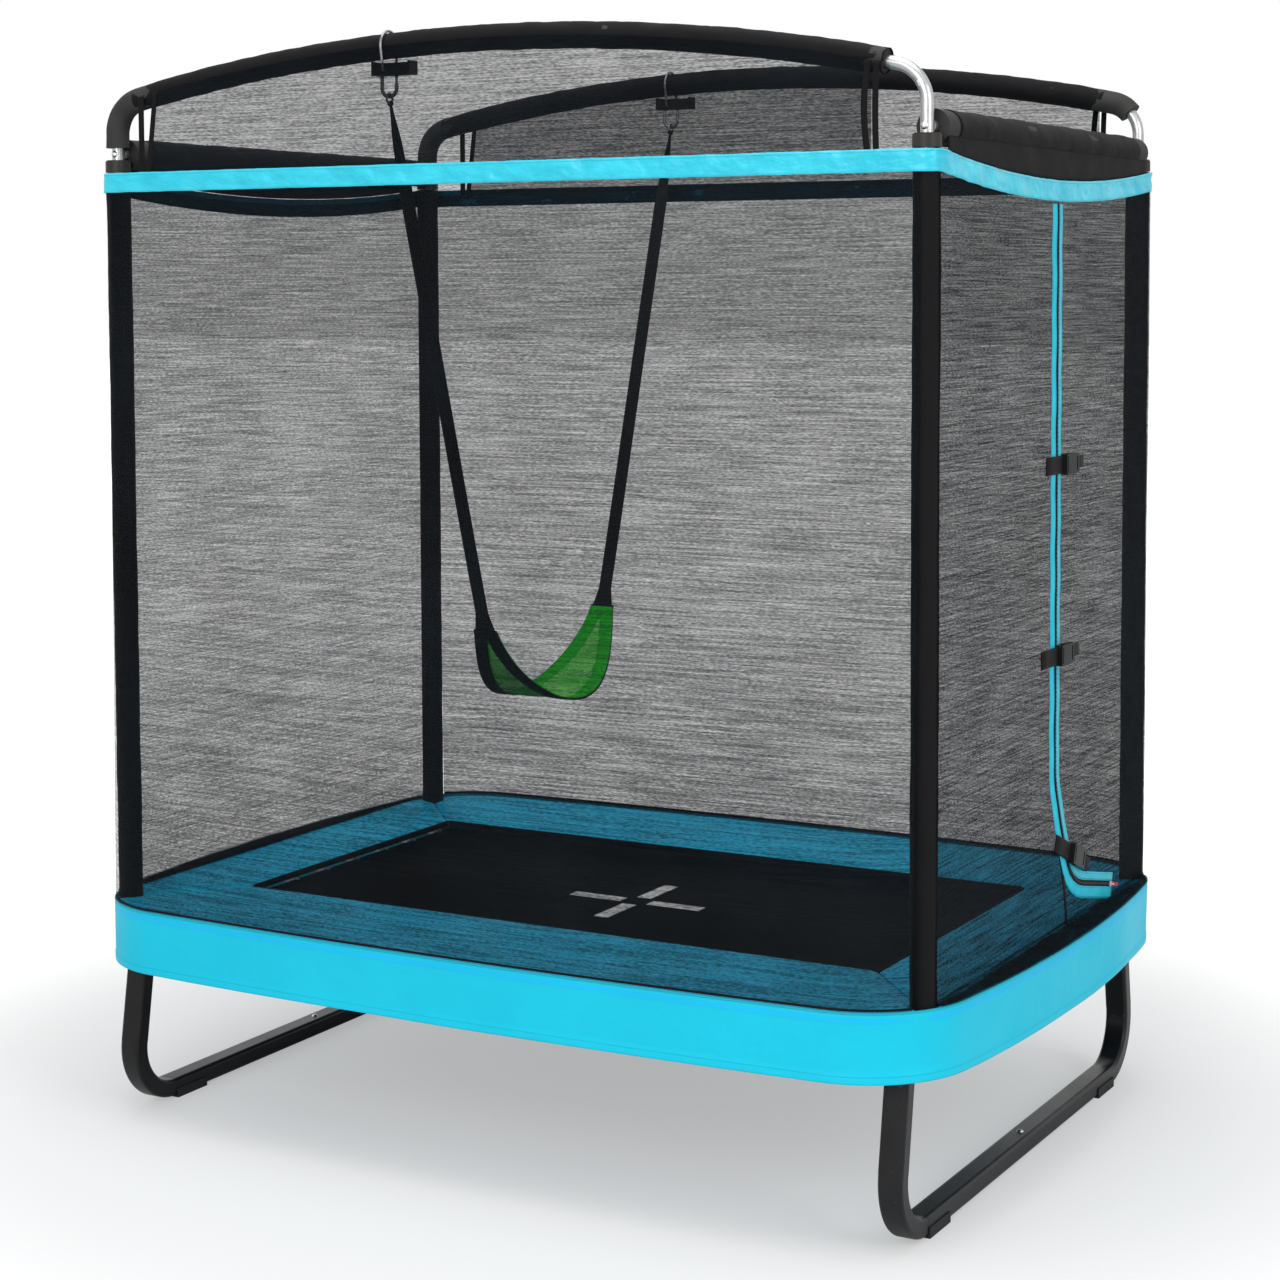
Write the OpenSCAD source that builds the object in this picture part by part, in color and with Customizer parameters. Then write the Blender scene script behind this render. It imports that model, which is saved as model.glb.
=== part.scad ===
// Rectangular children's trampoline with a net enclosure, arched top bars and a sling swing.
// X runs along the long side, Y from front to rear, Z up. The origin is on the floor under the centre.

/* [Plan outline] */
// Overall length over the skirt
overall_l = 1830; // [1800:5:1880]
// Overall width over the skirt
overall_w = 1336; // [1310:4:1400]
// Plan radius of the bowed long sides
long_side_r = 11000; // [9000:500:14000]
// Plan radius of the bowed short sides
short_side_r = 3750; // [3300:150:4500]
// Plan radius of the corners
corner_r = 200; // [185:5:220]

/* [Frame and legs] */
// Height of the top face of the pad
pad_z = 416; // [396:2:450]
// Outer diameter of the frame tube
frame_d = 32; // [28:1:36]
// Wall of the frame and leg tubes
frame_wall = 1.5; // [1:0.1:2]
// Long rail from its middle to its joint
rail_half = 528; // [526:1:530]
// Width of the leg tube across the leg plane
leg_w = 45; // [38:1:50]
// Depth of the leg tube in the leg plane
leg_t = 35; // [30:1:40]
// Centre-line radius of the leg bends
leg_bend_r = 100; // [80:5:120]
// Splay of the legs out of upright, in degrees
leg_splay = 9.1; // [4:0.1:12]

/* [Mat and springs] */
// Length of the jumping mat
mat_l = 1424; // [1400:4:1440]
// Width of the jumping mat
mat_w = 930; // [900:2:940]
// Springs along each long side
springs_long = 12; // [8:1:13]
// Springs along each short side
springs_short = 8; // [6:1:9]
// Outer diameter of a spring
spring_d = 14; // [10:1:16]
// Length of one bar of the white cross
cross_bar_l = 115; // [60:5:150]

/* [Pad and skirt] */
// Length of the opening in the pad
pad_open_l = 1350; // [1250:10:1380]
// Width of the opening in the pad
pad_open_w = 710; // [640:10:860]
// Thickness of the pad
pad_t = 19; // [12:1:19]
// Height of the skirt
skirt_h = 121; // [90:1:130]

/* [Posts and arches] */
// Outer diameter of the post tube
post_d = 25; // [22:1:28]
// Post axis inside the skirt outline
post_inset = 30.2; // [30:0.2:34]
// Height of the top of the post sleeves
post_top = 1813; // [1700:1:1900]
// Outer diameter of the elbow and arch tube
arch_d = 22; // [21:0.5:24]
// Plan angle of the post round its corner, in degrees
post_angle = 30.8; // [27:0.2:35]
// Height of the arch centre line at its middle
arch_z = 2028; // [2010:1:2060]
// Radius of the arch
arch_r = 3900; // [3700:50:4300]
// Centre-line radius of the elbows
elbow_r = 66; // [58:1:74]
// Arch tube from its middle to its joint
arch_joint_x = 600; // [450:10:650]
// Outer diameter of the foam on the posts and arches
foam_d = 44; // [38:1:45]
// Outer diameter of the fabric sleeves
sleeve_d = 48; // [47:0.5:50]
// Outer diameter of the foam on the cross bars
bar_foam_d = 58; // [50:1:60]

/* [Enclosure] */
// Height of the turquoise band
band_h = 37; // [25:1:50]
// Sag of the band on the short sides
band_sag = 33; // [10:1:45]
// Thickness of the net cloth
net_t = 1.5; // [1:0.1:2]

/* [Door] */
// Plan position of the upright zip along the short side
zip_y = 8; // [-40:1:30]
// Width of each coloured zip tape
zip_tape_w = 17; // [12:1:20]
// Width of the door buckles
buckle_w = 38; // [30:1:44]

/* [Swing] */
// Position of the swing along the long side
swing_x = -205; // [-260:5:-150]
// Drop from the arch centre line to the swing pivot
pivot_drop = 45; // [44:0.5:48]
// Outer height of a carabiner
carabiner_h = 58; // [56:1:70]
// Outer width of a carabiner
carabiner_w = 38; // [36:1:39]
// Height of the lowest point of the seat
seat_z = 777; // [650:5:900]
// Half of the seat's span between the straps
seat_half = 225; // [180:5:260]
// Drop of the sling below its ends
seat_drop = 153; // [110:1:170]
// Width of the seat at its middle
seat_w = 165; // [120:5:200]

/* [Hidden] */

// Overlap of solids that are joined face to face
EPS = 0.01;
// Smallest gap between soft parts that only touch
soft_gap = 0.3;
// Radial clearance of a tube in the tube round it
slip = 0.15;
// Overlap where two bends of one tube meet, and how much thinner every other bend is
join_lap = 0.1;
join_step = 0.013;

// Turquoise, fabric, foam, steel and the other colours of the parts
TURQUOISE = "#22cbe8";
FABRIC = "#17171a";
FOAM = "#33332f";
STEEL = "#c9ccd0";
PAINT = "#1c1c1e";
NET = "#6d7176";
GREEN = "#159a1e";

half_l = overall_l / 2;
half_w = overall_w / 2;

// Segments of a full turn that keep the chords of a radius close to it
function arc_fn(r) = max(24, ceil(PI * sqrt(r / 0.12)));

// Centres of the long and short side arcs, for the sides at +Y and +X
long_centre = [0, half_w - long_side_r];
short_centre = [half_l - short_side_r, 0];

// Centre of the corner arc that runs into both side arcs, at +X +Y
corner_c =
    let (
        to_short = short_centre - long_centre,
        gap = norm(to_short),
        reach_long = long_side_r - corner_r,
        reach_short = short_side_r - corner_r,
        along = (reach_long * reach_long - reach_short * reach_short + gap * gap) / (2 * gap),
        across = sqrt(reach_long * reach_long - along * along)
    )
    long_centre + (along * to_short + across * [to_short[1], -to_short[0]]) / gap;

short_end_a = atan2(corner_c[1], corner_c[0] - short_centre[0]);
long_end_a = atan2(corner_c[1] - long_centre[1], corner_c[0]);

// Half width of the outline at a given X, and half length at a given Y, pulled in by an offset
function outline_y(x, inset = 0) =
    let (
        r = long_side_r - inset,
        rc = corner_r - inset
    )
    abs(x) < r * cos(long_end_a)
        ? long_centre[1] + sqrt(r * r - x * x)
        : corner_c[1] + sqrt(max(0, rc * rc - pow(abs(x) - corner_c[0], 2)));
function outline_x(y, inset = 0) =
    let (
        r = short_side_r - inset,
        rc = corner_r - inset
    )
    abs(y) < r * sin(short_end_a)
        ? short_centre[0] + sqrt(r * r - y * y)
        : corner_c[0] + sqrt(max(0, rc * rc - pow(abs(y) - corner_c[1], 2)));

// Posts and frame
post_x = corner_c[0] + (corner_r - post_inset) * cos(post_angle);
post_y = corner_c[1] + (corner_r - post_inset) * sin(post_angle);
post_gap = 1.5;
pad_gap = 2;
frame_inset = post_inset + post_d / 2 + frame_d / 2 + post_gap;
frame_z = pad_z - pad_t - frame_d / 2 - pad_gap;
spigot_l = 60;
bolt_d = 8;
hole_d = bolt_d + 0.4;

// Legs
foot_t = 3;
leg_corner_r = 8;
leg_gap = 0.2;
leg_start = 5;
leg_x = post_x - post_d / 2 - leg_w / 2 - leg_gap;
leg_top_z = frame_z - frame_d / 2 - leg_start;
leg_run_z = foot_t + leg_t / 2;
leg_top_y = post_y + tan(leg_splay) * (frame_z - leg_top_z);
leg_drop_l = (leg_top_z - leg_run_z - leg_bend_r * (1 + sin(leg_splay))) / cos(leg_splay);
leg_seam_y = -15;
leg_run_l = leg_top_y + leg_drop_l * sin(leg_splay) - leg_bend_r * cos(leg_splay);
bolt_drops = [37, 63];
bolt_zs = frame_z * [1, 1] - bolt_drops;
stub_l = 80;

// Mat
mat_t = 2.5;
mat_z = frame_z;
ring_wire = 3;
ring_r = 5.5;
hook_wire = 2.5;
hook_r = 5.5;
slot_w = 6;

// Arches
arch_wall = 1.2;
spigot_d = arch_d - 2 * arch_wall - 2 * slip;
cap_h = 23;
cap_gap = 0.5;
elbow_base_z = post_top + cap_h + cap_gap;
arch_tan_x = (post_x - elbow_r) / (1 - elbow_r / arch_r);
arch_tan_a = asin(arch_tan_x / arch_r);
elbow_top_z = arch_z - arch_r * (1 - cos(arch_tan_a)) - elbow_r * cos(arch_tan_a);
joint_a = asin(arch_joint_x / arch_r);
elbow_bend_a = 90 - arch_tan_a;
function arch_height(x) = arch_z - arch_r + sqrt(arch_r * arch_r - x * x);
function arch_slope(x) = -asin(x / arch_r);
elbow_bolt_rise = 11;
bolt_z = elbow_base_z + elbow_bolt_rise;

// Enclosure planes, measured from the post axes outward
sleeve_r = sleeve_d / 2;
net_in = sleeve_r + soft_gap;
net_out = net_in + net_t;
band_in = net_out + soft_gap;
band_t = 2;
band_drop = 2;
net_tuck = 12;
band_top = post_top - band_drop;
net_top = band_top - net_tuck;

// Swing
pivot_z = arch_height(swing_x) - pivot_drop;
ring_wire_r = 2.5;
ring_room = 0.3;
saddle_half_l = 41;
saddle_half_w = 13.5;
saddle_shift = 11;
slot_half_l = 32;
hook_wire_r = 3.5;
carabiner_r = carabiner_w / 2 - hook_wire_r;
carabiner_top = pivot_z + ring_wire_r + ring_room + 2 * hook_wire_r;
carabiner_low = carabiner_top - carabiner_h;
link_wire_r = 2;
link_r = 9;
link_z = carabiner_low + 2 * hook_wire_r + ring_room + link_wire_r - link_r;
seat_r = (seat_half * seat_half + seat_drop * seat_drop) / (2 * seat_drop);
seat_a = asin(seat_half / seat_r);
seat_t = 3;

// ---------------------------------------------------------------- shared shapes

// Sweeps the 2D children along a chain: [length] is straight, [radius, angle] bends toward +X.
// Each piece starts inside the one before, and every other one is a trace thinner, so that they join cleanly.
module run(path, i = 0) {
    if (i < len(path)) {
        seg = path[i];
        lap = i > 0 ? join_lap : 0;
        size = 1 - (i % 2) * join_step;
        if (len(seg) == 1) {
            translate([0, 0, -lap]) linear_extrude(seg[0] + lap) scale(size) children();
            translate([0, 0, seg[0]]) run(path, i + 1) children();
        } else {
            lap_a = degrees_of(lap, seg[0]);
            translate([seg[0], 0, 0]) {
                rotate([0, -lap_a, 0])
                    rotate([90, 0, 180])
                        rotate_extrude(angle = seg[1] + lap_a, $fn = arc_fn(seg[0]))
                            translate([seg[0], 0]) scale(size) mirror([1, 0]) children();
                rotate([0, seg[1], 0]) translate([-seg[0], 0, 0]) run(path, i + 1) children();
            }
        }
    }
}

// Angle of an arc of the given length and radius
function degrees_of(arc_l, r) = arc_l / r * 180 / PI;

// The same chain, longer by one millimetre at its first straight and at its end
function bore_path(path) =
    let (last = len(path) - 1)
    [for (i = [0 : last])
        let (seg = path[i], more = (i == 0 ? 1 : 0) + (i == last ? 1 : 0))
        len(seg) == 1 ? [seg[0] + more] : [seg[0], seg[1] + degrees_of(more, seg[0])]];

// Hollow sweep: the first child is the outer profile and the second the bore
module tube_run(path) {
    difference() {
        run(path) children(0);
        translate([0, 0, -1]) run(bore_path(path)) children(1);
    }
}

module annulus(outer, inner) {
    difference() {
        circle(d = outer, $fn = 40);
        circle(d = inner, $fn = 40);
    }
}

module round_rect(x, y, r) {
    square([x - 2 * r, y], center = true);
    square([x, y - 2 * r], center = true);
    for (sx = [-1, 1], sy = [-1, 1]) {
        translate([sx * (x / 2 - r), sy * (y / 2 - r)]) circle(r, $fn = 24);
    }
}

// Bore of a round_rect tube with the same outer size
module rect_bore(x, y, r, wall) {
    round_rect(x - 2 * wall, y - 2 * wall, r - wall);
}

module ring(r, wire_r) {
    rotate_extrude(angle = 360, $fn = 36) translate([r, 0]) circle(wire_r, $fn = 20);
}

// Copies the children to the four corners, mirrored from +X +Y
module four_corners() {
    for (mx = [0, 1], my = [0, 1]) {
        mirror([mx, 0, 0]) mirror([0, my, 0]) children();
    }
}

// Puts the children at one post, turned so that +X +Y is outward
module at_post(sx, sy) {
    scale_x = sx < 0 ? 1 : 0;
    scale_y = sy < 0 ? 1 : 0;
    mirror([scale_x, 0, 0]) mirror([0, scale_y, 0]) translate([post_x, post_y, 0]) children();
}

// Revolves a 2D profile, X outward from the outline and Y up, along arcs of the outline
module arc_about(centre, r, a0, a1) {
    translate([centre[0], centre[1], 0])
        rotate([0, 0, a0])
            rotate_extrude(angle = a1 - a0, $fn = arc_fn(r))
                translate([r, 0]) children();
}
module short_side(lengths = 5) {
    step_a = 2 * short_end_a / lengths;
    for (i = [0 : lengths - 1]) {
        start_a = i * step_a - short_end_a - (i > 0 ? degrees_of(join_lap, short_side_r) : 0);
        arc_about(short_centre, short_side_r, start_a, (i + 1) * step_a - short_end_a)
            length_of_tube(i) children();
    }
}
// The corner runs a little into both sides
module corner(lap = 0) {
    lap_a = degrees_of(lap, corner_r / 2);
    arc_about(corner_c, corner_r, short_end_a - lap_a, long_end_a + lap_a) children();
}
// Part of the long side between two X positions
module long_side(x0, x1, lengths = 1) {
    step = (x1 - x0) / lengths;
    for (i = [0 : lengths - 1]) {
        start = x0 + i * step - (i > 0 ? join_lap : 0);
        end = x0 + (i + 1) * step;
        arc_about(long_centre, long_side_r, acos(end / long_side_r), acos(start / long_side_r))
            length_of_tube(i) children();
    }
}
// Every other length of a bowed frame tube is a trace thinner, so that the lengths join cleanly
module length_of_tube(i) {
    size = 1 - (i % 2) * join_step;
    translate([-frame_inset, frame_z]) scale(size) translate([frame_inset, -frame_z]) children();
}

// Flat area inside the outline, pulled in by an offset
module plan_area(inset) {
    // The corner arcs lie a trace inside the side arcs, which are cut off where the corners begin
    trace = 0.02;
    side_end = short_centre + (short_side_r - inset) * [cos(short_end_a), sin(short_end_a)];
    long_end = long_centre + (long_side_r - inset) * [cos(long_end_a), sin(long_end_a)];
    quarter = [
        [overall_l, side_end[1]], [side_end[0] - 1, side_end[1]],
        [long_end[0], long_end[1] - 1], [long_end[0], overall_w]
    ];
    intersection() {
        translate([0, long_centre[1]]) circle(long_side_r - inset, $fn = arc_fn(long_side_r));
        translate([0, -long_centre[1]]) circle(long_side_r - inset, $fn = arc_fn(long_side_r));
        translate([short_centre[0], 0]) circle(short_side_r - inset, $fn = arc_fn(short_side_r));
        translate([-short_centre[0], 0]) circle(short_side_r - inset, $fn = arc_fn(short_side_r));
        polygon(concat(
            quarter,
            [for (i = [3 : -1 : 0]) [-quarter[i][0], quarter[i][1]]],
            [for (p = quarter) -p],
            [for (i = [3 : -1 : 0]) [quarter[i][0], -quarter[i][1]]]
        ));
    }
    for (sx = [-1, 1], sy = [-1, 1]) {
        translate([sx * corner_c[0], sy * corner_c[1]])
            circle(corner_r - inset - trace, $fn = arc_fn(corner_r));
    }
}

// ---------------------------------------------------------------- frame and legs

// Solid tube profile on the frame's centre line
module frame_disc(d) {
    translate([-frame_inset, frame_z]) circle(d = d, $fn = 40);
}

// Length of a long and of a short side of the mat that stays free of springs, both ends together
free_long = 200;
free_short = 180;

// Positions of the springs: [mat edge point, frame point, direction angle]
function long_springs() =
    let (pitch = (mat_l - free_long) / (springs_long - 1))
    [for (i = [0 : springs_long - 1], s = [-1, 1])
        let (x = (i - (springs_long - 1) / 2) * pitch)
        [[x, s * mat_w / 2], [x, s * (outline_y(x) - frame_inset)], s * 90]];
function short_springs() =
    let (pitch = (mat_w - free_short) / (springs_short - 1))
    [for (i = [0 : springs_short - 1], s = [-1, 1])
        let (y = (i - (springs_short - 1) / 2) * pitch)
        [[s * mat_l / 2, y], [s * (outline_x(y) - frame_inset), y], s > 0 ? 0 : 180]];
function all_springs() = concat(long_springs(), short_springs());

// Square slots in the inner wall of the frame for the spring hooks
module spring_slots() {
    for (s = all_springs()) {
        translate([s[1][0], s[1][1], mat_z])
            rotate([0, -90, s[2]])
                translate([-slot_w / 2, -slot_w / 2, slot_w]) cube([slot_w, slot_w, frame_d / 2]);
    }
}

rail_lengths = 7;

module rail() {
    difference() {
        long_side(-rail_half, rail_half, rail_lengths) frame_disc(frame_d);
        long_side(-rail_half - 1, rail_half + 1, rail_lengths) frame_disc(frame_d - 2 * frame_wall);
    }
}

module front_rail() {
    color(PAINT) difference() {
        mirror([0, 1, 0]) rail();
        spring_slots();
    }
}

module rear_rail() {
    color(PAINT) difference() {
        rail();
        spring_slots();
    }
}

stub_w = leg_w - 2 * frame_wall - 2 * slip;
stub_t = leg_t - 2 * frame_wall - 2 * slip;
stub_corner_r = leg_corner_r - frame_wall;

// Rectangular stub that carries one leg, with its axis along the splayed leg
module leg_stub() {
    translate([leg_x, post_y, frame_z])
        rotate([leg_splay, 0, 0])
            difference() {
                translate([0, 0, -stub_l]) linear_extrude(stub_l) round_rect(stub_w, stub_t, stub_corner_r);
                translate([0, 0, -stub_l - 1])
                    linear_extrude(stub_l - frame_d / 2) rect_bore(stub_w, stub_t, stub_corner_r, frame_wall);
            }
}

// Holes through post, leg and stub for the corner bolts
module corner_bolt_holes() {
    four_corners()
        for (z = bolt_zs) {
            translate([leg_x - leg_w, post_y, z])
                rotate([0, 90, 0]) cylinder(d = hole_d, h = 2 * leg_w + post_d, $fn = 24);
        }
}

// Solid sweep of a frame end, from a place on one rail round both corners to the other
module frame_sweep(d, start) {
    short_side() frame_disc(d);
    for (my = [0, 1]) {
        mirror([0, my, 0]) {
            corner(join_lap) frame_disc(d * (1 - join_step));
            long_side(start, long_side_r * cos(long_end_a)) frame_disc(d);
        }
    }
}

// Reduced ends that slide into the rails
module frame_spigots(d, start, end) {
    for (my = [0, 1]) {
        mirror([0, my, 0]) long_side(start, end) frame_disc(d);
    }
}

module frame_end() {
    bore_d = frame_d - 2 * frame_wall;
    spigot_od = bore_d - 2 * slip;
    swage = 2 * frame_wall;
    difference() {
        union() {
            frame_sweep(frame_d, rail_half);
            frame_spigots(spigot_od, rail_half - spigot_l, rail_half + swage);
            leg_stub();
            mirror([0, 1, 0]) leg_stub();
        }
        frame_sweep(bore_d, rail_half + swage);
        frame_spigots(spigot_od - 2 * frame_wall, rail_half - spigot_l - 1, rail_half + 2 * swage);
        spring_slots();
        corner_bolt_holes();
    }
}

module left_frame_end() {
    color(PAINT) mirror([1, 0, 0]) frame_end();
}

module right_frame_end() {
    color(PAINT) frame_end();
}

// Moves to the top of the front right leg, with +Z down the leg and +X towards the rear
module at_leg_top() {
    translate([leg_x, -leg_top_y, leg_top_z]) rotate([-leg_splay, 0, 0]) rotate([180, 0, 90]) children();
}

// Chain of one half leg from its top, ending short of its seam by a given length
function leg_path(run_l) = [[leg_drop_l], [leg_bend_r, 90 + leg_splay], [run_l]];

module leg_outline() {
    round_rect(leg_t, leg_w, leg_corner_r);
}

module leg_bore() {
    rect_bore(leg_t, leg_w, leg_corner_r, frame_wall);
}

// Straight prism along +Y on the floor run, from y0 to y1
module floor_prism(x, z, r, y0, y1) {
    translate([leg_x, y0, leg_run_z]) rotate([-90, 0, 0]) linear_extrude(y1 - y0) round_rect(x, z, r);
}

// Front half, with a swaged end that slides into the rear half
module leg_front_half() {
    swage = 2 * frame_wall;
    end_y = leg_seam_y + spigot_l;
    difference() {
        union() {
            at_leg_top() run(leg_path(leg_run_l + leg_seam_y)) leg_outline();
            floor_prism(stub_w, stub_t, stub_corner_r, leg_seam_y - swage, end_y);
        }
        at_leg_top()
            translate([0, 0, -1])
                run(bore_path(leg_path(leg_run_l + leg_seam_y - swage - 1))) leg_bore();
        floor_prism(
            stub_w - 2 * frame_wall, stub_t - 2 * frame_wall, stub_corner_r - frame_wall,
            leg_seam_y - 2 * swage, end_y + 1);
        corner_bolt_holes();
        leg_bolt_hole();
    }
}

module leg_bolt_hole() {
    translate([leg_x, leg_seam_y + spigot_l / 2, leg_run_z])
        cylinder(d = hole_d, h = leg_t, $fn = 24);
}

module leg_rear_half() {
    seam_gap = 0.4;
    difference() {
        mirror([0, 1, 0]) at_leg_top() tube_run(leg_path(leg_run_l - leg_seam_y - seam_gap)) {
            leg_outline();
            leg_bore();
        }
        corner_bolt_holes();
        leg_bolt_hole();
    }
}

module leg_front_left() {
    color(PAINT) mirror([1, 0, 0]) leg_front_half();
}

module leg_front_right() {
    color(PAINT) leg_front_half();
}

module leg_rear_left() {
    color(PAINT) mirror([1, 0, 0]) leg_rear_half();
}

module leg_rear_right() {
    color(PAINT) leg_rear_half();
}

// Plastic shoes clipped under the floor run next to each bend
module foot_pads() {
    shoe_l = 90;
    shoe_wall = 2.5;
    color("#101011") four_corners()
        translate([leg_x, leg_run_l - shoe_l, 0])
            difference() {
                translate([-leg_w / 2 - shoe_wall, 0, 0])
                    cube([leg_w + 2 * shoe_wall, shoe_l, leg_run_z - 2]);
                translate([0, -EPS, leg_run_z])
                    rotate([-90, 0, 0])
                        linear_extrude(shoe_l + 2 * EPS)
                            round_rect(leg_w + 0.2, leg_t + 0.1, leg_corner_r);
            }
}

// Bolt along +Z with its head below the origin
module hex_bolt(grip) {
    hex_d = 14.5;
    head_h = 5.3;
    nut_h = 6.5;
    translate([0, 0, -head_h]) cylinder(d = hex_d, h = head_h, $fn = 6);
    cylinder(d = bolt_d, h = grip + nut_h + 1.5, $fn = 24);
    translate([0, 0, grip]) cylinder(d = hex_d, h = nut_h, $fn = 6);
}

module corner_bolts() {
    color(STEEL) four_corners()
        for (z = bolt_zs) {
            translate([post_x + post_d / 2, post_y, z])
                rotate([0, -90, 0]) hex_bolt(post_d + leg_w + 0.4);
        }
}

// Round-headed bolt along -Z from its seat at the origin
module dome_bolt(grip) {
    head_r = 6.5;
    head_h = 4;
    ball_r = (head_r * head_r + head_h * head_h) / (2 * head_h);
    intersection() {
        translate([0, 0, head_h - ball_r]) sphere(ball_r, $fn = 48);
        cylinder(r = head_r + 1, h = head_h + 1, $fn = 40);
    }
    translate([0, 0, -grip]) cylinder(d = bolt_d, h = grip + EPS, $fn = 24);
}

module dome_bolts() {
    leg_grip = 12;
    elbow_grip = arch_d + 16;
    color(STEEL) {
        for (s = [-1, 1]) {
            translate([s * leg_x, leg_seam_y + spigot_l / 2, leg_run_z + leg_t / 2]) dome_bolt(leg_grip);
        }
        four_corners()
            translate([post_x, post_y + arch_d / 2, bolt_z]) rotate([-90, 0, 0]) dome_bolt(elbow_grip);
    }
}

// ---------------------------------------------------------------- mat and springs

// Moves to the place of each spring, with +X from the mat's edge to the frame
module at_springs() {
    for (s = all_springs()) {
        translate([s[0][0], s[0][1], mat_z]) rotate([0, 0, s[2]]) children();
    }
}

// Distance of the ring centres outside the mat's edge, and of the eyelets inside it
eyelet_inset = 4;
ring_x = ring_r - eyelet_inset;
hook_x = ring_x + ring_r - (ring_wire + hook_wire) / 2 - 0.2 + hook_r;

module jumping_mat() {
    mat_corner_r = 40;
    eyelet_d = ring_wire + 1.2;
    color("#131415")
        difference() {
            translate([0, 0, mat_z - mat_t / 2]) linear_extrude(mat_t) round_rect(mat_l, mat_w, mat_corner_r);
            at_springs()
                translate([-eyelet_inset, 0, -mat_t]) cylinder(d = eyelet_d, h = 2 * mat_t, $fn = 24);
        }
}

module mat_cross() {
    bar_w = 30;
    bar_t = 0.8;
    inner = 30;
    lift = 0.05;
    color("#e4e6e2")
        for (a = [0 : 90 : 270]) {
            rotate([0, 0, a])
                translate([inner, -bar_w / 2, mat_z + mat_t / 2 + lift]) cube([cross_bar_l, bar_w, bar_t]);
        }
}

// Steel rings through the eyelets, upright in the line of each spring
module mat_rings() {
    color(STEEL) at_springs() translate([ring_x, 0, 0]) rotate([90, 0, 0]) ring(ring_r, ring_wire / 2);
}

// One spring: ring-shaped inner hook, coil body and an outer hook that turns down inside the frame tube
module spring(l) {
    turn_r = 3;
    tip_l = 5;
    rod_l = 14;
    tip_room = 2.3;
    turn_x = l - frame_d / 2 + frame_wall + tip_room;
    body_x0 = hook_x + hook_r - 0.5;
    body_x1 = l - frame_d / 2 - rod_l;
    translate([hook_x, 0, 0]) ring(hook_r, hook_wire / 2);
    translate([body_x0, 0, 0]) rotate([0, 90, 0]) cylinder(d = spring_d, h = body_x1 - body_x0, $fn = 32);
    translate([body_x1 - 1, 0, 0])
        rotate([0, 90, 0])
            run([[turn_x - body_x1 + 1], [turn_r, 90], [tip_l]]) circle(d = hook_wire, $fn = 20);
}

module springs() {
    color(STEEL)
        for (s = all_springs()) {
            translate([s[0][0], s[0][1], mat_z]) rotate([0, 0, s[2]]) spring(norm(s[1] - s[0]));
        }
}

// ---------------------------------------------------------------- pad and skirt

skirt_t = 2;

// Whole pad with a hole for each post
module pad_body() {
    difference() {
        linear_extrude(pad_t) plan_area(skirt_t + soft_gap);
        translate([0, 0, -1])
            linear_extrude(pad_t + 2) square([pad_open_l, pad_open_w], center = true);
        four_corners()
            translate([post_x, post_y, -1]) cylinder(d = sleeve_d + 2 * soft_gap, h = pad_t + 2, $fn = 48);
    }
}

// Plan wedge between the mitre seams of one side, with a = 0 for the right side
module mitre_wedge(a) {
    far = overall_l;
    seam = 0.4;
    slope = [post_x - pad_open_l / 2, post_y - pad_open_w / 2];
    inner = [pad_open_l / 2, pad_open_w / 2];
    back = inner - slope * 2;
    front = inner + slope * 2;
    if (a == 0) {
        polygon([[0, back[1] - seam], [back[0] + seam, back[1] - seam], [front[0], front[1] - seam],
            [far, 0], [front[0], seam - front[1]], [back[0] + seam, seam - back[1]], [0, seam - back[1]]]);
    }
    if (a == 90) {
        polygon([[back[0], 0], [back[0], back[1] + seam], [front[0], front[1] + seam],
            [0, far], [-front[0], front[1] + seam], [-back[0], back[1] + seam], [-back[0], 0]]);
    }
}

module pad_piece(a) {
    intersection() {
        pad_body();
        translate([0, 0, -1]) linear_extrude(pad_t + 2) mitre_wedge(a);
    }
}

module place_pad() {
    color(TURQUOISE) translate([0, 0, pad_z - pad_t]) children();
}

module pad_right() {
    place_pad() pad_piece(0);
}

module pad_left() {
    place_pad() mirror([1, 0, 0]) pad_piece(0);
}

module pad_rear() {
    place_pad() pad_piece(90);
}

module pad_front() {
    place_pad() mirror([0, 1, 0]) pad_piece(90);
}

module skirt() {
    color(TURQUOISE)
        translate([0, 0, pad_z - skirt_h])
            difference() {
                linear_extrude(skirt_h) plan_area(0);
                translate([0, 0, -1]) linear_extrude(skirt_h + 2) plan_area(skirt_t);
            }
}

// ---------------------------------------------------------------- posts

// Post tube with a reduced top that the elbow slides over
module post() {
    low = bolt_zs[1] - 14;
    high = post_top + cap_h - 4;
    neck = 12;
    difference() {
        union() {
            translate([0, 0, low]) cylinder(d = post_d, h = high - low, $fn = 40);
            cylinder_between(high - EPS, bolt_z + 24, spigot_d);
        }
        cylinder_between(low - 1, high - neck, post_d - 2 * frame_wall);
        cylinder_between(low - 1, bolt_z + 25, spigot_d - 2 * arch_wall);
        for (z = bolt_zs) {
            translate([-post_d, 0, z]) rotate([0, 90, 0]) cylinder(d = hole_d, h = 2 * post_d, $fn = 24);
        }
        elbow_bolt_hole();
    }
}

module cylinder_between(z0, z1, d) {
    translate([0, 0, z0]) cylinder(d = d, h = z1 - z0, $fn = 40);
}

module elbow_bolt_hole() {
    translate([0, -post_d, bolt_z]) rotate([-90, 0, 0]) cylinder(d = hole_d, h = 2 * post_d, $fn = 24);
}

module post_front_left() {
    color(STEEL) at_post(-1, -1) post();
}

module post_front_right() {
    color(STEEL) at_post(1, -1) post();
}

module post_rear_left() {
    color(STEEL) at_post(-1, 1) post();
}

module post_rear_right() {
    color(STEEL) at_post(1, 1) post();
}

post_wrap_z = pad_z - pad_t + 1;

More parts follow.
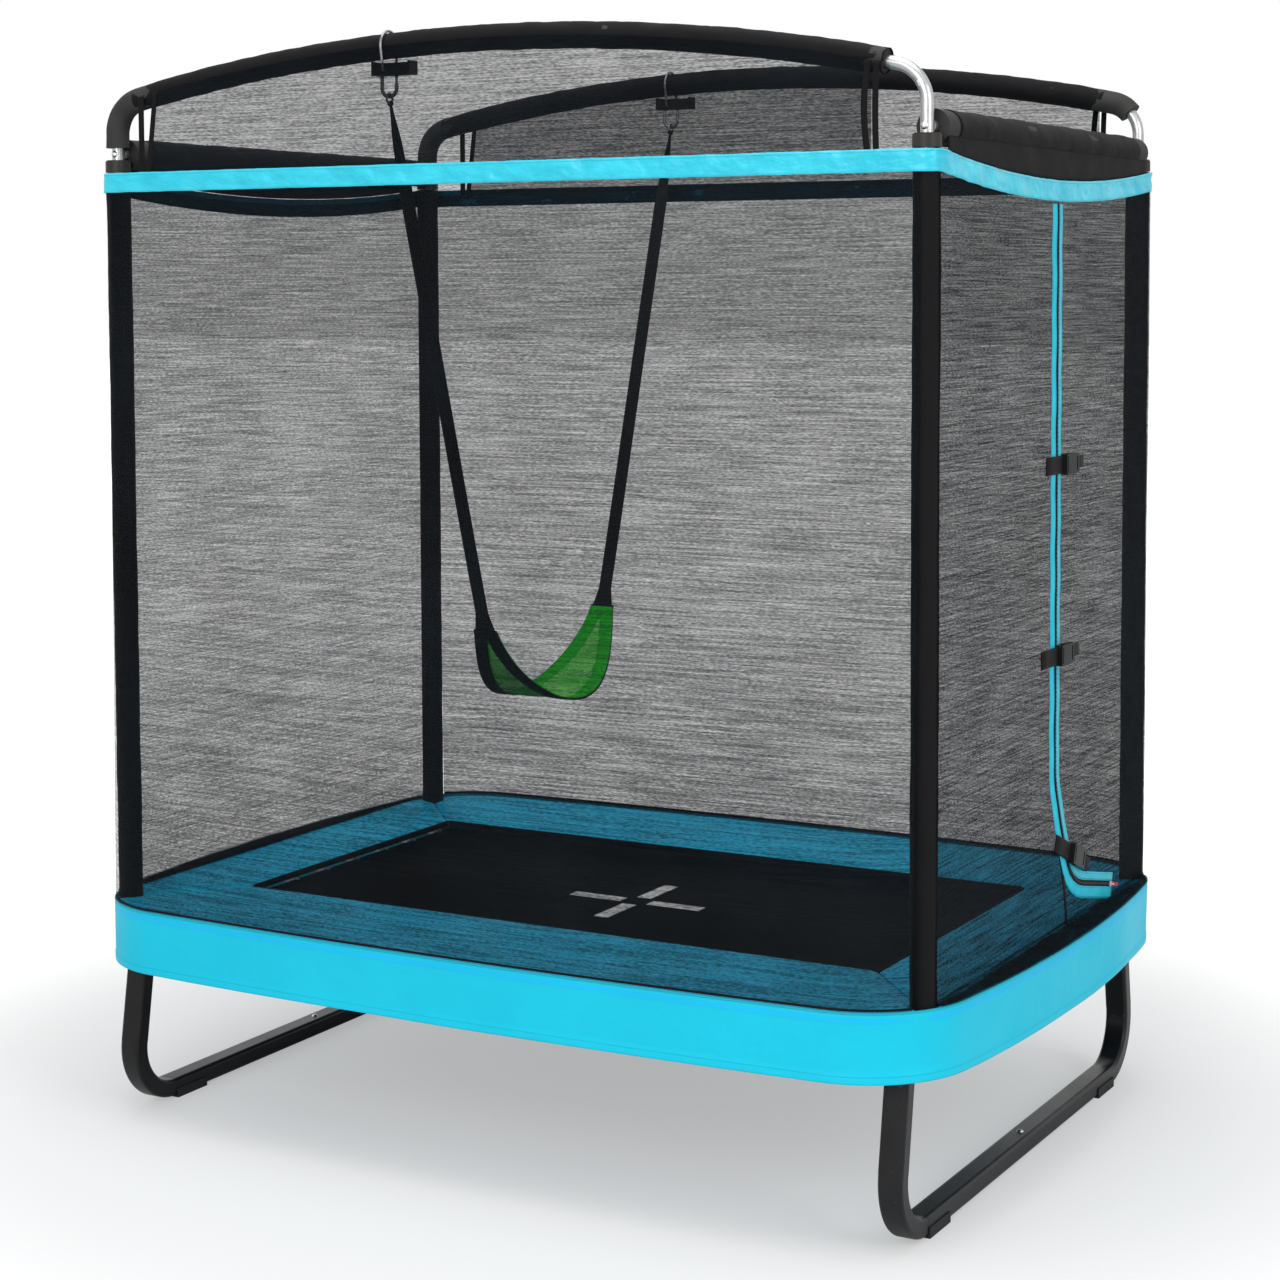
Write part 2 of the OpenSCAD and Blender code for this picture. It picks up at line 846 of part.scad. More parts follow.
module post_foams() {
    color(FOAM) four_corners()
        translate([post_x, post_y, post_wrap_z])
            linear_extrude(post_top - post_wrap_z - 1) annulus(foam_d, post_d + 2 * soft_gap);
}

module post_sleeves() {
    color(FABRIC) four_corners()
        translate([post_x, post_y, post_wrap_z])
            linear_extrude(post_top - post_wrap_z - 1) annulus(sleeve_d, foam_d + 2 * soft_gap);
}

// Plastic collars that close the top of the foam
module post_caps() {
    pocket = cap_h - 4 + 0.3;
    color("#26262a") four_corners()
        translate([post_x, post_y, post_top])
            difference() {
                union() {
                    cylinder(d = sleeve_d, h = cap_h - 2, $fn = 48);
                    cylinder(d = sleeve_d - 4, h = cap_h, $fn = 48);
                }
                translate([0, 0, -1]) cylinder(d = spigot_d + 2 * slip, h = cap_h + 2, $fn = 40);
                translate([0, 0, -1]) cylinder(d = post_d + 2 * slip, h = pocket + 1, $fn = 40);
            }
}

// ---------------------------------------------------------------- arches

// Moves to the foot of an elbow, with +Z up and +X towards the middle of the arch
module at_elbow(sx, sy) {
    translate([sx * post_x, sy * post_y, elbow_base_z]) rotate([0, 0, sx > 0 ? 180 : 0]) children();
}

module elbow(sx, sy) {
    seam_a = 0.005;
    path = [
        [elbow_top_z - elbow_base_z], [elbow_r, elbow_bend_a], [arch_r, arch_tan_a - joint_a - seam_a]
    ];
    difference() {
        at_elbow(sx, sy)
            tube_run(path) {
                circle(d = arch_d, $fn = 40);
                circle(d = arch_d - 2 * arch_wall, $fn = 40);
            }
        translate([sx * post_x, sy * post_y, 0]) elbow_bolt_hole();
    }
}

module elbow_front_left() {
    color(STEEL) elbow(-1, -1);
}

module elbow_front_right() {
    color(STEEL) elbow(1, -1);
}

module elbow_rear_left() {
    color(STEEL) elbow(-1, 1);
}

module elbow_rear_right() {
    color(STEEL) elbow(1, 1);
}

// Arc of the arch between two X positions, in the plane Y = 0
module arch_arc(x0, x1) {
    translate([0, 0, arch_z - arch_r])
        rotate([90, 0, 0])
            rotate([0, 0, 90 - asin(x1 / arch_r)])
                rotate_extrude(angle = asin(x1 / arch_r) - asin(x0 / arch_r), $fn = arc_fn(arch_r))
                    translate([arch_r, 0]) children();
}

// The same in lapped lengths, every other one a trace thinner
module lapped_arc(x0, x1, lengths) {
    step = (x1 - x0) / lengths;
    for (i = [0 : lengths - 1]) {
        size = 1 - (i % 2) * join_step;
        arch_arc(x0 + i * step - (i > 0 ? join_lap : 0), x0 + (i + 1) * step) scale(size) children();
    }
}

// Solid arc centred on the arch
module arch_disc(d, half) {
    arch_arc(-half, half) circle(d = d, $fn = 40);
}

// Middle tube, with swaged ends that slide into the elbows
module arch_tube(sy) {
    swage_l = 50;
    swage = 4;
    translate([0, sy * post_y, 0])
        difference() {
            union() {
                arch_disc(arch_d, arch_joint_x);
                arch_disc(spigot_d, arch_joint_x + swage_l);
            }
            arch_disc(arch_d - 2 * arch_wall, arch_joint_x - swage);
            arch_disc(spigot_d - 2 * arch_wall, arch_joint_x + swage_l + 1);
        }
}

module arch_tube_front() {
    color(STEEL) arch_tube(-1);
}

module arch_tube_rear() {
    color(STEEL) arch_tube(1);
}

cover_left = -arch_tan_x + 1;
cover_right = arch_tan_x - 16;
foam_foot_z = bolt_z + arch_d / 2 + 0.8;

// Foam from just above the left cap, over the elbow and along the arch by the given arcs
module arch_foam(sy, arcs) {
    translate([-post_x, sy * post_y, foam_foot_z])
        tube_run(concat([[elbow_top_z - foam_foot_z], [elbow_r, elbow_bend_a]], arcs)) {
            circle(d = foam_d, $fn = 40);
            circle(d = arch_d + 2 * soft_gap, $fn = 40);
        }
}

// The rear foam also covers the upper part of the right elbow
module arch_foams() {
    rear_wrap_a = 38;
    color(FOAM) {
        arch_foam(-1, [[arch_r, arch_tan_a + asin((cover_right - 3) / arch_r)]]);
        arch_foam(1, [[arch_r, 2 * arch_tan_a], [elbow_r, rear_wrap_a]]);
    }
}

// Fabric sleeve with the upper net sewn to its outer face
module arch_cover(sy) {
    binding = 26;
    binding_t = net_t + 1;
    hanger_slot = 16;
    left = cover_left + 22;
    right = cover_right - 4;
    plane = sleeve_r - 0.6;
    translate([0, sy * post_y, 0]) {
        difference() {
            lapped_arc(cover_left, cover_right, 5) circle(d = sleeve_d, $fn = 40);
            arch_arc(cover_left - 1, cover_right + 1) circle(d = foam_d + 2 * soft_gap, $fn = 40);
        }
        for (strip = [
            [left, right, net_t],
            [left, left + binding, binding_t],
            [right - binding, right, binding_t]
        ]) {
            difference() {
                translate([strip[0], sy > 0 ? plane : -plane - strip[2], net_top])
                    cube([strip[1] - strip[0], strip[2], arch_z - net_top]);
                upper_net_cut();
                hanger_notch(hanger_slot);
            }
        }
    }
}

// Everything above the arch centre line
module upper_net_cut() {
    difference() {
        translate([-overall_l, -sleeve_d, arch_z - arch_r / 4])
            cube([2 * overall_l, 2 * sleeve_d, arch_r / 2]);
        translate([0, 0, arch_z - arch_r])
            rotate([90, 0, 0]) cylinder(r = arch_r, h = 3 * sleeve_d, center = true, $fn = arc_fn(arch_r));
    }
}

// Opening in the net for a hanger ring
module hanger_notch(w) {
    translate([swing_x - w / 2, -sleeve_d, arch_height(swing_x) - 40]) cube([w, 2 * sleeve_d, 80]);
}

module arch_cover_front() {
    color(FABRIC) arch_cover(-1);
}

module arch_cover_rear() {
    color(FABRIC) arch_cover(1);
}

// ---------------------------------------------------------------- cross bars

bar_half = post_y - arch_d / 2 - 0.3;
bar_foam_half = post_y - sleeve_r - 1;

module cross_bars() {
    plug_l = 26;
    color(STEEL) for (s = [-1, 1]) {
        translate([s * post_x, 0, bolt_z])
            rotate([90, 0, 0]) {
                linear_extrude(2 * bar_half, center = true) annulus(arch_d, arch_d - 2 * arch_wall);
                for (e = [-1, 1]) {
                    translate([0, 0, e * (bar_half - plug_l / 2)])
                        linear_extrude(plug_l, center = true) annulus(arch_d - 1, hole_d);
                }
            }
    }
}

module cross_bar_foams() {
    color(FOAM) for (s = [-1, 1]) {
        translate([s * post_x, 0, bolt_z])
            rotate([90, 0, 0])
                linear_extrude(2 * bar_foam_half, center = true) annulus(bar_foam_d, arch_d + 2 * soft_gap);
    }
}

// Drop of the sagging band at a given Y
function sag(y) = band_sag * (1 - pow(y / post_y, 2));

// Fabric roll round the foam, with a flap down to the band
module cross_bar_cover() {
    roll_t = 1.5;
    roll_half = bar_foam_half - 48;
    flap_half = bar_foam_half - 2;
    steps = 12;
    outer_r = bar_foam_d / 2 + soft_gap + roll_t;
    translate([post_x, 0, bolt_z])
        rotate([90, 0, 0])
            linear_extrude(2 * roll_half, center = true) annulus(2 * outer_r, 2 * (outer_r - roll_t));
    translate([post_x + outer_r - roll_t, 0, 0])
        rotate([90, 0, 90])
            linear_extrude(roll_t)
                polygon(concat(
                    [[flap_half, bolt_z], [-flap_half, bolt_z]],
                    [for (i = [0 : steps])
                        let (y = flap_half * (2 * i / steps - 1)) [y, band_top + 2 - sag(y)]]
                ));
}

module cross_bar_cover_right() {
    color(FABRIC) cross_bar_cover();
}

module cross_bar_cover_left() {
    color(FABRIC) mirror([1, 0, 0]) cross_bar_cover();
}

// ---------------------------------------------------------------- nets and band

// Sheet through rows of points, from the top row to the lowest one, thickened by the vector t
module ruled_sheet(rows, t) {
    n = len(rows[0]);
    m = len(rows);
    far = n * m;
    function at(j, i) = j * n + i;
    points = concat([for (row = rows, p = row) p], [for (row = rows, p = row) p + t]);
    faces = concat(
        [for (j = [0 : m - 2], i = [0 : n - 2]) [at(j, i), at(j, i + 1), at(j + 1, i + 1), at(j + 1, i)]],
        [for (j = [0 : m - 2], i = [0 : n - 2])
            [far + at(j, i), far + at(j + 1, i), far + at(j + 1, i + 1), far + at(j, i + 1)]],
        [for (i = [0 : n - 2]) [at(0, i), far + at(0, i), far + at(0, i + 1), at(0, i + 1)]],
        [for (i = [0 : n - 2])
            [at(m - 1, i), at(m - 1, i + 1), far + at(m - 1, i + 1), far + at(m - 1, i)]],
        [for (j = [0 : m - 2]) [at(j, 0), at(j + 1, 0), far + at(j + 1, 0), far + at(j, 0)]],
        [for (j = [0 : m - 2])
            [at(j, n - 1), far + at(j, n - 1), far + at(j + 1, n - 1), at(j + 1, n - 1)]]
    );
    polyhedron(points, faces, convexity = 4);
}

// Foot of the nets: inside the skirt's outline and just above the pad
hem_inset = skirt_t + 3;
hem_z = pad_z + 0.4;

// Long side net: upright behind the band, then leaning out to the pad's bowed edge at its foot
module long_net() {
    steps = 24;
    lean_top = band_top - band_h - 2;
    xs = [for (i = [0 : steps]) post_x * (2 * i / steps - 1)];
    upright = [for (z = [net_top, lean_top]) [for (x = xs) [x, -post_y - net_in, z]]];
    foot = [for (x = xs) [x, -outline_y(x) + hem_inset, hem_z]];
    ruled_sheet(concat(upright, [foot]), [0, -net_t, 0]);
}

module net_front() {
    color(NET) long_net();
}

module net_rear() {
    color(NET) mirror([0, 1, 0]) long_net();
}

// Short side net: upright between the posts, with a flap over the edge of the pad
module short_net() {
    steps = 16;
    half = post_y - sleeve_r - soft_gap;
    top_y = [for (i = [0 : steps]) half * (2 * i / steps - 1)];
    translate([post_x + net_in, 0, 0])
        rotate([90, 0, 90])
            linear_extrude(net_t)
                polygon(concat(
                    [[half, hem_z], [-half, hem_z]],
                    [for (y = top_y) [y, net_top - sag(y)]]
                ));
    flap = concat(
        [[post_x + net_in, half], [post_x + net_in, -half]],
        [for (y = top_y) [outline_x(y) - hem_inset, y]]
    );
    translate([0, 0, hem_z]) linear_extrude(net_t) polygon(flap);
}

module net_right() {
    color(NET) short_net();
}

module net_left() {
    color(NET) mirror([1, 0, 0]) short_net();
}

module band_section() {
    translate([band_in, 0]) square([band_t, band_h]);
}

// Band round all four sides, straight on the long sides and sagging on the short ones
module top_band() {
    steps = 24;
    low = band_top - band_h;
    ys = [for (i = [0 : steps]) post_y * (2 * i / steps - 1)];
    color(TURQUOISE) {
        for (s = [-1, 1]) {
            translate([-post_x, s > 0 ? post_y + band_in : -post_y - band_in - band_t, low])
                cube([2 * post_x, band_t, band_h]);
            translate([s > 0 ? post_x + band_in : -post_x - band_in - band_t, 0, 0])
                rotate([90, 0, 90])
                    linear_extrude(band_t)
                        polygon(concat(
                            [for (y = ys) [y, low - sag(y)]],
                            [for (i = [steps : -1 : 0]) [ys[i], low + band_h - sag(ys[i])]]
                        ));
        }
        four_corners()
            translate([post_x, post_y, low])
                rotate_extrude(angle = 90, $fn = 48) band_section();
    }
}

// ---------------------------------------------------------------- door

// Plane of the door hardware: X runs along +Y of the object, Y up, Z outward
door_x = post_x + net_out + 0.3;
module on_door() {
    translate([door_x, 0, 0]) rotate([90, 0, 90]) children();
}

// Gap between the tapes, and the corners of the zip's line from its top to its lower end
zip_gap = 11;
zip_top = [zip_y, net_top - band_sag - 30];
zip_bend = [zip_y + 4, 690];
zip_turn = [zip_y + 92, 492];
zip_reach = 330;
zip_end = [zip_y + zip_reach, 441];
zip_leg = zip_end - zip_turn;
zip_leg_a = atan2(zip_leg[1], zip_leg[0]);

// Strip of given width whose centre line runs from a to b, moved sideways by an offset
module strip(a, b, w, offset_y = 0) {
    d = b - a;
    translate(a) rotate(atan2(d[1], d[0])) translate([0, offset_y - w / 2]) square([norm(d), w]);
}

// Coloured tapes along the three legs of the zip, with two rows of teeth between them
module zip_tapes() {
    tooth_w = 2.6;
    split = 1.4;
    legs = [[zip_top, zip_bend], [zip_bend, zip_turn], [zip_turn, zip_end]];
    side = (zip_gap + zip_tape_w) / 2;
    color(TURQUOISE) on_door() for (l = legs, s = [-1, 1]) {
        linear_extrude(tape_t) strip(l[0], l[1], zip_tape_w, s * side);
    }
    color("#0d0f14") on_door() for (l = legs, s = [-1, 1]) {
        linear_extrude(tape_t) strip(l[0], l[1], (zip_gap - split) / 2 + EPS, s * (zip_gap + split) / 4);
        linear_extrude(tooth_t) strip(l[0], l[1], tooth_w, s * (tooth_w + split) / 2);
    }
}

slider_l = 16;
slider_gap = 0.4;
slider_t = 1.6;
tape_t = 1;
tooth_t = 2;
// Clear height under the slider's bridge, whose middle is the axis of the pull
bridge_room = 2.4;
slider_z = tooth_t + slider_gap;
pull_x = 8;

// Moves to the parked slider, with +X back along the zip
module at_slider() {
    park = 4;
    on_door()
        translate([zip_end[0], zip_end[1], 0])
            rotate([0, 0, zip_leg_a + 180]) translate([park, 0, 0]) children();
}

module zip_slider() {
    half_front = 4;
    half_back = 5.2;
    bridge_l = 10;
    bridge_w = 3;
    bridge_leg = 2;
    bridge_top = 1.4;
    color("#dcdcdc") at_slider() {
        translate([0, 0, slider_z]) linear_extrude(slider_t)
            polygon([[0, -half_front], [slider_l, -half_back], [slider_l, half_back], [0, half_front]]);
        // Bridge that carries the pull
        translate([pull_x - bridge_l / 2, -bridge_w / 2, slider_z + slider_t - EPS])
            difference() {
                cube([bridge_l, bridge_w, bridge_room + bridge_top]);
                translate([bridge_leg, -1, -1])
                    cube([bridge_l - 2 * bridge_leg, bridge_w + 2, bridge_room + 1]);
            }
    }
}

// Pull with a window for the bridge and a round bar under it, flat along the zip
module zip_pull() {
    bar_d = 1.4;
    frame_l = 8;
    frame_w = 6.8;
    frame_t = 1.2;
    window = [5.7, 3.8];
    grip = [26, 7, bar_d];
    color("#b3123a") at_slider()
        translate([pull_x, 0, slider_z + slider_t + bridge_room / 2])
            rotate([0, 0, 180]) {
                difference() {
                    union() {
                        rotate([90, 0, 0]) cylinder(d = bar_d, h = frame_w, center = true, $fn = 24);
                        translate([0, -frame_w / 2, -frame_t / 2]) cube([frame_l, frame_w, frame_t]);
                    }
                    translate([bar_d / 2 - 0.2, -window[1] / 2, -1]) cube([window[0], window[1], 2]);
                }
                translate([frame_l - EPS, -grip[1] / 2, -grip[2] / 2]) cube(grip);
            }
}

// Buckle places on the door: [along Y, height, turn]
BUCKLES = [
    [zip_y + 20, 1270, 0],
    [zip_y + 2, 925, 0],
    [zip_y + 78, 552, -22]
];
socket_l = 44;
socket_t = 12;
clip_base_l = 20;
buckle_z = 2.6;

module at_buckle(i) {
    on_door() translate([BUCKLES[i][0], BUCKLES[i][1], buckle_z]) rotate([0, 0, BUCKLES[i][2]]) children();
}

// Socket open towards +X, with side windows for the prongs
module socket() {
    wall = 1.8;
    inner_w = buckle_w - 2 * wall;
    difference() {
        linear_extrude(socket_t) round_rect_from(0, socket_l, buckle_w, 4);
        translate([14, -inner_w / 2, wall]) cube([socket_l, inner_w, socket_t - 2 * wall]);
        for (s = [-1, 1]) {
            translate([18, s * buckle_w / 2, socket_t / 2]) cube([16, 6, 5], center = true);
        }
        // Slot for the webbing
        translate([4, -inner_w / 2 + 2, -1]) cube([4, inner_w - 4, socket_t + 2]);
    }
}

// Rectangle from x0 to x1, rounded at the corners
module round_rect_from(x0, x1, w, r) {
    translate([(x0 + x1) / 2, 0]) round_rect(x1 - x0, w, r);
}

module buckle_sockets() {
    webbing_l = 78;
    color("#0e0e10") for (i = [0 : 2]) {
        at_buckle(i) {
            socket();
            // Webbing sewn to the net, ending at the socket
            translate([-webbing_l, -15, -0.2]) cube([webbing_l - 0.3, 30, 1.6]);
        }
    }
}

// Clip with two side prongs and a middle guide
module clip() {
    prong_w = 4;
    prong_t = 5;
    reach = 26;
    side = buckle_w / 2 - 1.8 - 0.6 - prong_w;
    z0 = (socket_t - prong_t) / 2;
    difference() {
        translate([socket_l + 1, 0, 1])
            linear_extrude(socket_t - 2) round_rect_from(0, clip_base_l, buckle_w - 2, 3);
        translate([socket_l + 10, -buckle_w / 2 + 6, -1]) cube([5, buckle_w - 12, socket_t + 2]);
    }
    for (s = [-1, 1]) {
        translate([socket_l + 1.5 - reach, s > 0 ? side : -side - prong_w, z0])
            cube([reach, prong_w, prong_t]);
    }
    translate([socket_l + 1.5 - reach, -2, z0]) cube([reach, 4, prong_t]);
}

module buckle_clip_top() {
    color("#0e0e10") at_buckle(0) clip();
}

module buckle_clip_middle() {
    color("#0e0e10") at_buckle(1) clip();
}

module buckle_clip_bottom() {
    color("#0e0e10") at_buckle(2) clip();
}

// ---------------------------------------------------------------- swing

// Places the children at both pivots
module at_pivots() {
    for (s = [-1, 1]) {
        translate([swing_x, s * post_y, pivot_z]) children();
    }
}

// Closed pear-shaped wire round the arch sleeve, with a straight bow at the pivot
module hanger_rings() {
    bow_half = saddle_half_w + 1;
    bow_r = 6;
    wrap_r = sleeve_r + soft_gap + ring_wire_r;
    rise = pivot_drop - bow_r;
    reach = norm([bow_half, rise]);
    leg_a = atan2(bow_half, rise) + acos((wrap_r - bow_r) / reach);
    leg_l = sqrt(reach * reach - pow(wrap_r - bow_r, 2));
    loop = [
        [2 * bow_half], [bow_r, leg_a], [leg_l], [wrap_r, 360 - 2 * leg_a], [leg_l],
        [bow_r, leg_a + degrees_of(join_lap, bow_r)]
    ];
    color(STEEL) at_pivots()
        translate([0, -bow_half, 0])
            rotate([-90, 0, 0]) rotate([0, 0, -90]) run(loop) circle(ring_wire_r, $fn = 24);
}

// Moulded bar between the sleeve and the bow, slotted for the carabiner
module hanger_saddles() {
    low = -7;
    slope_room = tan(abs(arch_slope(swing_x))) * (saddle_half_l + saddle_shift);
    high = pivot_drop - sleeve_r - slope_room - 0.6;
    slot_top = 13.5;
    flange = 3;
    color("#0c0c0d") at_pivots()
        difference() {
            union() {
                translate([saddle_shift - saddle_half_l, -saddle_half_w, low])
                    cube([2 * saddle_half_l, 2 * saddle_half_w, high - low - flange]);
                for (s = [-1, 1]) {
                    translate([saddle_shift + s * (saddle_half_l - 2) - 2, -saddle_half_w, low])
                        cube([4, 2 * saddle_half_w, high - low]);
                }
            }
            rotate([90, 0, 0])
                cylinder(r = ring_wire_r + ring_room, h = 4 * saddle_half_w, center = true, $fn = 32);
            translate([-slot_half_l, -hook_wire_r - 1, low - 1])
                cube([2 * slot_half_l, 2 * hook_wire_r + 2, slot_top - low + 1]);
        }
}

gate_r = 2.5;
gate_low = 4;
pin_d = 2.4;

// Half of the straight side of a carabiner
carabiner_half = (carabiner_h - carabiner_w) / 2;

// Moves to the middle of a carabiner, with +Z up
module at_carabiner(s) {
    translate([swing_x, s * post_y, carabiner_top - carabiner_h / 2]) children();
}

// Wire D with a gap on its +X side for the gate, a fork at the lower end and its pin
module carabiner() {
    arc_r = carabiner_r;
    fork_r = hook_wire_r + 0.1;
    pin_z = -carabiner_half + gate_low;
    difference() {
        union() {
            translate([arc_r, 0, carabiner_half]) rotate([0, 0, 180])
                run([[arc_r, 180], [2 * carabiner_half], [arc_r, 180]]) circle(hook_wire_r, $fn = 28);
            translate([arc_r, 0, -carabiner_half - EPS]) cylinder(r = fork_r, h = gate_low + 3, $fn = 28);
        }
        // Fork slot
        translate([arc_r - 5, -1.7, pin_z - 4]) cube([10, 3.4, 9]);
    }
    translate([arc_r, 0, pin_z]) rotate([90, 0, 0]) cylinder(d = pin_d, h = 6, center = true, $fn = 24);
}

module carabiners() {
    color("#3a3d3f") for (s = [-1, 1]) {
        at_carabiner(s) carabiner();
    }
}

// Gate with its eye round the fork pin, closed against the upper end of the body
module gate() {
    eye_r = 2.9;
    eye_w = 2.8;
    pin_z = -carabiner_half + gate_low;
    top = carabiner_half - 0.4;
    translate([carabiner_r, 0, 0]) {
        difference() {
            union() {
                translate([0, 0, pin_z])
                    rotate([90, 0, 0]) cylinder(r = eye_r, h = eye_w, center = true, $fn = 28);
                translate([-2, -eye_w / 2, pin_z]) cube([4, eye_w, 6]);
                translate([0, 0, pin_z + 5]) cylinder(r = gate_r, h = top - pin_z - 5, $fn = 28);
            }
            translate([0, 0, pin_z])
                rotate([90, 0, 0]) cylinder(d = pin_d + 0.2, h = 10, center = true, $fn = 24);
        }
    }
}

module gate_front() {
    color("#6f7376") at_carabiner(-1) gate();
}

module gate_rear() {
    color("#6f7376") at_carabiner(1) gate();
}

module swing_links() {
    color("#3a3d3f") for (s = [-1, 1]) {
        translate([swing_x, s * post_y, link_z]) rotate([0, 90, 0]) ring(link_r, link_wire_r);
    }
}

seat_end_half = 25;

// Half width of the sling at a given Y, cut back by an inset
function seat_half_w(y, inset = 0) =
    seat_end_half + (seat_w / 2 - seat_end_half) * (1 - pow(y / seat_half, 2)) - inset;

// Lens-shaped plan of the sling, or of its middle where it is wider than the inset
module seat_plan(inset = 0) {
    steps = 16;
    spare = max(0, inset + 1 - seat_end_half) / (seat_w / 2 - seat_end_half);
    end_y = seat_half * sqrt(1 - spare);
    ys = [for (i = [0 : steps]) end_y * (2 * i / steps - 1)];
    polygon(concat(
        [for (y = ys) [seat_half_w(y, inset), y]],
        [for (i = [steps : -1 : 0]) [-seat_half_w(ys[i], inset), ys[i]]]
    ));
}

// Curved sheet from radius r outward, over the span of the sling
module sling_sheet(r, t) {
    translate([0, 0, seat_z + seat_r])
        rotate([90, 0, 90])
            rotate([0, 0, -90 - seat_a])
                rotate_extrude(angle = 2 * seat_a, $fn = arc_fn(r))
                    translate([r, -seat_w / 2]) square([t, seat_w]);
}

module swing_seat() {
    color(GREEN)
        translate([swing_x, 0, 0])
            intersection() {
                sling_sheet(seat_r - seat_t, seat_t);
                translate([0, 0, seat_z - 10])
                    linear_extrude(seat_drop + 30) seat_plan();
            }
}

strap_w = 28;
strap_t = 2;

// Solid through a chain of centred rectangles, each given as [height, width in X, width in Y]
module loft(sections) {
    n = len(sections);
    points = [
        for (c = sections, k = [[-1, -1], [1, -1], [1, 1], [-1, 1]])
            [k[0] * c[1] / 2, k[1] * c[2] / 2, c[0]]
    ];
    faces = concat(
        [[0, 1, 2, 3]],
        [for (i = [0 : n - 2], j = [0 : 3])
            let (a = 4 * i + j, b = 4 * i + (j + 1) % 4)
            [a, a + 4, b + 4, b]],
        [[4 * n - 1, 4 * n - 2, 4 * n - 3, 4 * n - 4]]
    );
    polyhedron(points, faces, convexity = 2);
}

// Webbing under both edges of the sling and the two straps up to the links
module swing_webbing() {
    edge_r = seat_r + soft_gap;
    top_w = 7;
    height = seat_drop + 30;
    color(FABRIC) translate([swing_x, 0, 0]) {
        difference() {
            intersection() {
                sling_sheet(edge_r, strap_t);
                translate([0, 0, seat_z - 10]) linear_extrude(height) seat_plan(0.1);
            }
            translate([0, 0, seat_z - 20]) linear_extrude(height + 20) seat_plan(strap_w - 2);
        }
        for (my = [0, 1]) {
            mirror([0, my, 0]) strap(edge_r, top_w);
        }
    }
}

// One strap at +Y: it starts under the sling's end, turns and narrows to a loop in the link
module strap(edge_r, top_w) {
    foot = [
        (edge_r + strap_t / 2) * sin(seat_a),
        seat_z + seat_r - (edge_r + strap_t / 2) * cos(seat_a)
    ];
    loop_gap = 1;
    loop_r = link_wire_r + loop_gap + strap_t / 2;
    rise = [post_y, link_z] - foot;
    lean = atan2(rise[0], rise[1]);
    eye = [post_y, link_z] - link_r * rise / norm(rise);
    strip_l = norm(rise) - link_r - loop_r;
    neck = 2 * loop_r;
    translate([0, foot[0], foot[1]])
        rotate([-lean, 0, 0])
            loft([
                [-6, 2 * seat_end_half, strap_t], [40, strap_w, strap_t],
                [strip_l - 120, strap_w, strap_t], [strip_l - 12, neck, top_w], [strip_l - 6, neck, top_w]
            ]);
    translate([0, eye[0], eye[1]])
        rotate([90 - lean, 0, 0])
            linear_extrude(top_w - 1, center = true)
                difference() {
                    union() {
                        circle(r = loop_r + strap_t / 2, $fn = 32);
                        translate([-loop_r + 0.5, -15]) square([neck - 1, 15]);
                    }
                    circle(r = loop_r - strap_t / 2, $fn = 32);
                }
}

front_rail();
rear_rail();
left_frame_end();
right_frame_end();
leg_front_left();
leg_rear_left();
leg_front_right();
leg_rear_right();
foot_pads();
corner_bolts();
dome_bolts();
jumping_mat();
mat_cross();
mat_rings();
springs();
pad_front();
pad_rear();
pad_left();
pad_right();
skirt();
post_front_left();
post_front_right();
post_rear_left();
post_rear_right();
post_foams();
post_sleeves();
post_caps();
elbow_front_left();
elbow_front_right();
elbow_rear_left();
elbow_rear_right();
arch_tube_front();
arch_tube_rear();
arch_foams();
arch_cover_front();
arch_cover_rear();
cross_bars();
cross_bar_foams();
cross_bar_cover_left();
cross_bar_cover_right();
net_front();
net_rear();
net_left();
net_right();
top_band();
zip_tapes();
zip_slider();
zip_pull();
buckle_sockets();
buckle_clip_top();
buckle_clip_middle();
buckle_clip_bottom();
hanger_rings();
hanger_saddles();
carabiners();
gate_front();
gate_rear();
swing_links();
swing_webbing();
swing_seat();
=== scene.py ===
"""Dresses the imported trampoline: cloth, foam, nets, springs, finishes, light and camera.

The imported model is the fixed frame. Each sub-assembly is a class that models its soft parts with bmesh
operators, in metres and in the frame's own coordinates, and gives its rigid parts their finish.
"""

import logging
import math
from collections.abc import Callable, Sequence
from dataclasses import dataclass, replace
from enum import Enum
from functools import cached_property, partial

